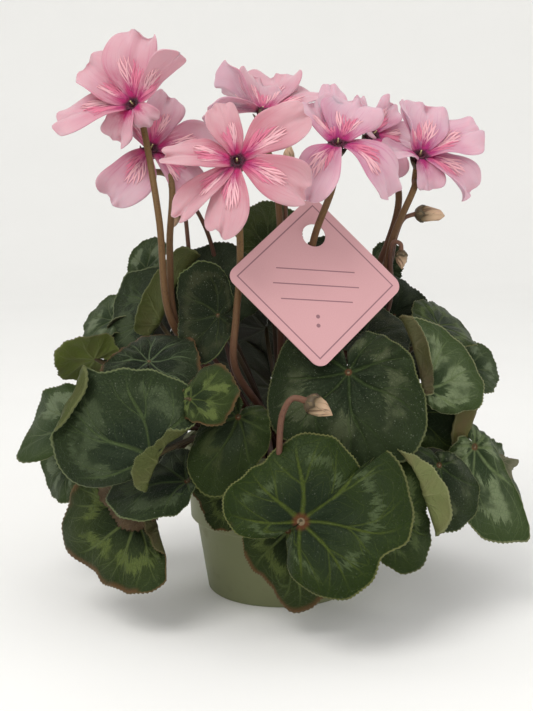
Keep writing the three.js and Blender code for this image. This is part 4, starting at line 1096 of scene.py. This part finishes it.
# name, middle of the calyx, the way the throat looks, place on the crown, points of the stem, colour, and
# petals: turn, length, width, lift at the throat, droop at the tip, twist
BLOOMS = [
    ("left_top", (-77, -18, 272), (-0.35, -0.75, 0.55), (2, 10),
     [(-26, -15, 118), (-50, -27, 143), (-61, -36, 165), (-66, -31, 215)], "rose",
     [(88, 38, 29, 46, 16), (148, 36, 27, 38, 5), (200, 43, 25, 30, -10), (248, 22, 26, 10, -60),
      (325, 16, 14, 30, -90), (28, 40, 15, 36, 24, 78)]),
    ("left_under", (-76, 0, 248), (0.4, -0.55, 0.6), (1, 4),
     [(-28, -9, 116), (-52, -22, 143), (-59, -31, 165), (-61, -24, 200), (-62, -10, 238)], "dusky",
     [(222, 40, 27, 0, -50), (350, 42, 26, 30, 0), (305, 38, 24, 10, -40), (60, 34, 22, 40, 10),
      (130, 30, 22, 40, 0)]),
    ("centre", (-22.6, -66.5, 243.4), (-0.02, -0.9, 0.4), (1, 0),
     [(-8, -28, 106), (-25, -57, 140), (-24, -54.5, 165), (-22, -51, 190)], "salmon",
     [(107, 29, 17, 40, 0), (34, 42, 21, 30, -5), (-24, 40, 23, 25, -38), (-103, 40, 21, 20, -24),
      (-134, 43, 15, 24, -30), (180, 38, 25, 38, -12, 40)]),
    ("middle_top", (-10, 5, 267), (0, 0.5, 0.85), (0, 0),
     [(0, 0, 120), (0, 2, 205), (-4, 5, 242)], "rose",
     [(333, 43, 30, 54, 46, 25), (22, 36, 20, 6, -45), (292, 30, 26, 84, 68), (246, 42, 33, 66, 60, 20),
      (192, 38, 26, 40, 15, 50)]),
    ("right_front", (29, -40, 249), (0.05, -0.55, 0.83), (1, 1),
     [(10, -16, 120), (14, -26, 180), (17.6, -40, 206.4), (26, -49, 231)], "lilac",
     [(124, 28, 31, 42, 12), (56, 28, 31, 42, 12), (333, 43, 24, 12, -85), (240, 40, 25, 18, -62),
      (90, 36, 16, 26, 20)]),
    ("right_back", (48, 12, 256), (0.5, -0.5, 0.6), (1, 2),
     [(16, 6, 120), (56, -5, 190), (66, -2, 230), (54, 14, 247)], "lilac",
     [(105, 22, 17, 40, 10), (40, 26, 17, 40, 10), (345, 30, 20, 25, -20), (180, 24, 17, 40, 0),
      (265, 28, 22, 20, -40)]),
    ("right_side", (75, -10, 243.4), (0.15, -0.6, 0.78), (2, 3),
     [(24, -2, 116), (54, -14, 170), (62, -17, 205), (73, -18, 232)], "lilac",
     [(112, 30, 20, 50, 30, 50), (72, 32, 28, 38, 12), (15, 37, 28, 28, 0), (335, 38, 25, 10, -60),
      (280, 20, 16, 0, -70), (195, 24, 20, 40, -10)]),
]
for values in BLOOMS:
    make_bloom(*values)


# Buds

def make_bud(name, at, tip, length, radius, root, via, end=0.36, node=True, stem=1.0):
    at, heading = np.array(at, float), unit(tip)
    axes = frame_of(heading, np.cross(heading, UP) if abs(heading[2]) < 0.9 else AXES[0])
    piece = Piece()
    radii = stem * between(BUD_STEM_RADII, STEM_STEPS)
    add_stem(piece, root, [*via, at + heading], radii, 12, BUD_STEM_SKIN, at[0])

    def folded(radii, heights, turns):
        return radii * (1 + 0.09 * np.cos(turns * 5 + heights / length * 3)), heights

    def cut(radii, heights, turns):
        wave = ((1 + np.cos(5 * turns)) / 2) ** 1.5
        return radii, heights * (0.55 + 0.45 * wave)

    rings = between([(0, 0.55), (0.12, 0.86), (0.32, 0.95), (0.6, 0.78), (0.85, end), (1, end / 9)], 18)
    profile = [(r * radius, z * length) for r, z in zip(rings, np.linspace(0, 1, len(rings)))]
    add_turned(piece, profile, 30, BUD_SKIN, at, axes, at[0], folded)
    collar = [(0.5 * radius, -0.6), (0.8 * radius, 0.08 * length), (1.08 * radius, 0.3 * length),
              (1.0 * radius, 0.3 * length), (0.5 * radius, 0.1 * length)]
    add_turned(piece, collar, 30, CALYX_SKIN, at, axes, at[0], cut)
    piece.build("budding_" + name, "bud_" + name if node else None, "bud")


BUD_SKIN = bud_material()
BUD_STEM_SKIN = stem_material("bud_stem_skin", (50, 22, 16), (140, 68, 42), (60, 20, 20))

# name, where the stem meets it, the way of its tip, length, radius, place on the crown, points of the stem
make_bud("right", (74.5, -15, 218), (1, 0, -0.1), 16, 4.6, (2, 4),
         [(28, 4, 116), (60, -10, 185), (64, -14, 206), (68, -15, 215)], end=0.62)
make_bud("hanging", (66, -22, 197.5), (0.05, 0, -1), 10, 3.4, (3, 5),
         [(30, 0, 112), (60, -16, 165), (60.5, -20, 196), (62, -22, 202.5), (65.5, -22, 201.5)])
make_bud("front", (12, -99, 129), (0.85, 0, -0.5), 15, 5.2, (3, 0),
         [(-7, -36, 99), (-6, -62, 95), (-4, -88, 91), (-2, -98, 98), (0, -99, 122), (5, -99, 130)], stem=1.3)
make_bud("behind", (4, 4, 244), (0.1, 0, 1), 12, 3.6, (1, 3),
         [(2, 10, 120), (3, 8, 190), (3, 5, 230)])
make_bud("left_low", (-58, 5, 221), (-0.3, 0, -1), 13, 3.8, (3, 12),
         [(-24, 8, 112), (-34, 22, 150), (-38, 18, 190), (-44, 9, 211), (-50, 5, 221), (-56, 5, 223)],
         end=0.5, node=False)
make_bud("left_high", (-55, 8, 223), (-0.2, 0, 1), 11, 3.4, (3, 10),
         [(-24, 14, 112), (-49, 10, 150), (-52, 8, 189), (-54, 8, 213)], node=False)


# Pot, soil, tuber and tag

def cut_holes(made, places, radius, low, high):
    """Cuts round upright holes through a piece."""
    tool = Piece()
    for x, y in places:
        add_turned(tool, [(radius, low), (radius, high)], 32, made.data.materials[0], (x, y, 0))
    cutter = link("drain_tool", mesh_of("drain_tool", np.concatenate(tool.points) * MM, tool.faces))
    change = made.modifiers.new("holes", "BOOLEAN")
    change.operation = "DIFFERENCE"
    change.object = cutter
    cut = finished_mesh(made)
    made.modifiers.clear()
    made.data = cut
    bpy.data.objects.remove(cutter)


def make_pot():
    height, foot, shoulder, step = POT.height, POT.foot, POT.shoulder, POT.step
    collar, mouth, lip, wall, floor = POT.collar, POT.mouth, POT.lip, POT.wall, POT.floor_top
    low, level, slant = height - POT.lip_height, POT.shoulder_height, CHANNEL.slant
    profile = [
        (0.5, 0), (CHANNEL.inner - slant, 0), (CHANNEL.inner, CHANNEL.depth), (CHANNEL.outer, CHANNEL.depth),
        (CHANNEL.outer + slant, 0), (foot - 0.8, 0), (foot, 0.8), (shoulder - 0.1, level - 0.6),
        (shoulder + 0.6, level + 0.2), (collar - 0.5, level + step - 0.3), (collar, level + step + 0.4),
        (mouth, low - 0.5), (mouth + 0.4, low), (lip - 0.4, low), (lip, low + 0.5), (lip, height - 1.2),
        (lip - 0.4, height - 0.3), (lip - 1.2, height), (mouth - wall + 0.4, height),
        (mouth - wall, height - 0.5), (collar - wall, level + step + 1), (shoulder - wall, level + 1),
        (foot - wall, floor), (0.5, floor),
    ]
    piece = Piece()
    add_turned(piece, profile, 120, pot_material())
    made = piece.build("flowerpot", "pot", "pot_plastic")
    places = [on_circle(DRAIN.circle, 2 * math.pi * i / DRAIN.count) for i in range(DRAIN.count)]
    cut_holes(made, places, DRAIN.radius, -2, floor + 3)
    edges = made.modifiers.new("corners", "EDGE_SPLIT")
    edges.split_angle = math.radians(38)


def soil_level(radius, turn):
    """Height of the soil's lumpy top."""
    x, y = radius * np.cos(turn), radius * np.sin(turn)
    lumps = np.sin(x * 0.9) * np.cos(y * 0.7) + 0.6 * np.sin(x * 0.37 + 1) * np.sin(y * 0.53)
    fine = 0.5 * np.sin(x * 1.9 + y * 0.6) * np.sin(y * 2.3 - x * 0.4)
    return SOIL_HEIGHT + (0.6 * lumps + 0.6 * fine) * np.clip((51 - radius) / 6, 0, 1)


def make_soil():
    """Soil with a lumpy top and crumbs on it."""
    inner = POT.wall + GAP
    bottom = POT.shoulder_height + POT.step + 1
    slope = (POT.mouth - POT.collar) / (POT.height - bottom)
    edge = POT.collar - inner + slope * (SOIL_HEIGHT - bottom)
    rings = [(0.5, POT.floor_top + GAP), (POT.foot - inner, POT.floor_top + GAP),
             (POT.shoulder - inner, POT.shoulder_height + 1), (POT.collar - inner, bottom + GAP),
             (edge, SOIL_HEIGHT)]
    rings += [(radius, SOIL_HEIGHT + 1e-3) for radius in np.linspace(edge - 1.3, 16, 24)]

    def lumpy(radii, heights, turns):
        return radii, np.where(heights > SOIL_HEIGHT, soil_level(radii, turns), heights)

    piece = Piece()
    material = soil_material()
    add_turned(piece, rings, 120, material, shape=lumpy)
    random = np.random.default_rng(7)
    for _ in range(CRUMBS.count):
        radius = math.sqrt(random.uniform(CRUMBS.inner ** 2, CRUMBS.outer ** 2))
        turn = random.uniform(0, 2 * math.pi)
        size = random.uniform(*CRUMBS.sizes)
        spot = (*on_circle(radius, turn), soil_level(radius, turn) - size * 0.3)
        axes = frame_of(random.normal(size=3), random.normal(size=3))
        crumb = [(across * size, height * size) for across, height in CRUMBS.profile]
        add_turned(piece, crumb, 6, material, spot, axes)
    piece.build("potting_mix", "soil", "potting_soil")


def make_tuber():
    random = np.random.default_rng(11)
    waves = [(random.integers(2, 7), random.uniform(0, 6), random.uniform(0.4, 0.9)) for _ in range(5)]

    def knobbly(radii, heights, turns):
        swell = sum(size * np.sin(count * turns + phase + 3 * heights) for count, phase, size in waves)
        radii = radii * (TUBER.radius - 1 + 0.5 * swell)
        return radii, heights * (TUBER.half_height - 0.4 + 0.12 * swell) + TUBER.centre_height

    rings = [on_circle(1, tilt) for tilt in np.linspace(-0.49, 0.49, 24) * math.pi]
    piece = Piece()
    add_turned(piece, rings, 90, tuber_material(), shape=knobbly)
    piece.build("tuber_body", "tuber", "tuber_skin")


def make_tag():
    """A card cut as a rounded square with one hole, hung as a diamond."""
    half = TAG.side / 2 - TAG.corner
    outline = []
    for quarter, (x, y) in enumerate(((1, 1), (-1, 1), (-1, -1), (1, -1))):
        for angle in np.linspace(0, math.pi / 2, 10) + quarter * math.pi / 2:
            across, along = on_circle(TAG.corner, angle)
            outline.append((x * half + across, y * half + along))
    offset = TAG.hole_from_middle / math.sqrt(2)
    turns = np.linspace(0, 2 * math.pi, 48, endpoint=False)
    hole = [(offset + TAG.hole * math.cos(turn), offset + TAG.hole * math.sin(turn)) for turn in turns]
    curve = bpy.data.curves.new("card_outline", "CURVE")
    curve.dimensions = "2D"
    curve.fill_mode = "BOTH"
    curve.extrude = TAG.thickness / 2 - TAG_BEVEL
    curve.bevel_depth = TAG_BEVEL
    for loop in (outline, hole):
        spline = curve.splines.new("POLY")
        spline.points.add(len(loop) - 1)
        for point, (x, y) in zip(spline.points, loop):
            point.co = (x, y, 0, 1)
        spline.use_cyclic_u = True
    holder = link("card_outline", curve)
    card = finished_mesh(holder)
    bpy.data.objects.remove(holder)
    flat = np.array([vertex.co for vertex in card.vertices])
    front, rest = [], []
    for polygon in card.polygons:
        face = list(polygon.vertices)
        lowest = flat[face, 2].min()
        (front if lowest > TAG.thickness / 2 - TAG_BEVEL / 2 else rest).append(face)
    up, right = unit(TAG.top), unit(TAG.right)
    axes = frame_of(np.cross(right, up), right + up)
    groups = [(front, card_material("card_front", True)), (rest, card_material("card_back", False))]
    piece = Piece()
    piece.add(flat @ axes.T + np.array(TAG.middle), groups, flat[:, :2])
    made = piece.build("card_tag", "tag", "tag_card")
    made.data.polygons.foreach_set("use_smooth", [False] * len(made.data.polygons))


make_pot()
make_soil()
make_tuber()
make_tag()


# Floor, lights and camera, in metres

def make_stage(flat=1.6, bend=0.9, top=1.5, sides=96, steps=16):
    """A round paper sweep: a level floor that curves up into a wall all round."""
    g = Graph("floor_paper")
    mottle = g.noise(g.place(), 6)
    paper = g.finish(g.paint((860, 860, 850), ((890, 890, 880), mottle)), 0.8, mottle, 0.1, 0.1)
    profile = [(0.01, 0.0), (0.5, 0.0), (1.0, 0.0)]
    for i in range(steps + 1):
        angle = math.pi / 2 * i / steps
        profile.append((flat + bend * math.sin(angle), bend - bend * math.cos(angle)))
    profile.append((flat + bend, top))
    turns = [2 * math.pi * i / sides for i in range(sides)]
    points = [(*on_circle(radius, turn), height) for radius, height in profile for turn in turns]
    mesh = mesh_of("floor", points, grid_faces(len(profile), sides, closed=True) + [list(range(sides))])
    mesh.polygons.foreach_set("use_smooth", [True] * len(mesh.polygons))
    mesh.materials.append(paper)
    link("floor", mesh)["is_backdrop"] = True


def make_light(name, place, size, power, colour, target=(0, 0, 0.16)):
    data = bpy.data.lights.new(name, "AREA")
    data.size = size
    data.energy = power
    data.color = colour
    light = link(name, data)
    light.location = place
    light.rotation_euler = (Vector(target) - Vector(place)).to_track_quat("-Z", "Y").to_euler()


def make_view():
    world = bpy.data.worlds.new("studio")
    world.use_nodes = True
    colour, strength = world.node_tree.nodes["Background"].inputs[:2]
    colour.default_value = (1.0, 0.99, 0.97, 1)
    strength.default_value = 0.92
    scene = bpy.context.scene
    scene.world = world
    scene.view_settings.view_transform = "Standard"
    make_light("key", (-0.6, -1.0, 1.4), 0.8, 13, (1.0, 0.98, 0.95))
    make_light("fill", (1.1, -0.9, 0.7), 1.2, 3, (0.95, 0.97, 1.0))
    camera = link("camera", bpy.data.cameras.new("camera"))
    camera.location = (-0.008, -0.720, 0.250)
    camera.rotation_euler = Euler((math.radians(81), 0, 0))
    camera.data.lens = 64.3
    camera.data.sensor_width = 36
    camera.data.clip_start = 0.01
    scene.camera = camera


make_stage()
make_view()

visual_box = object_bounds()
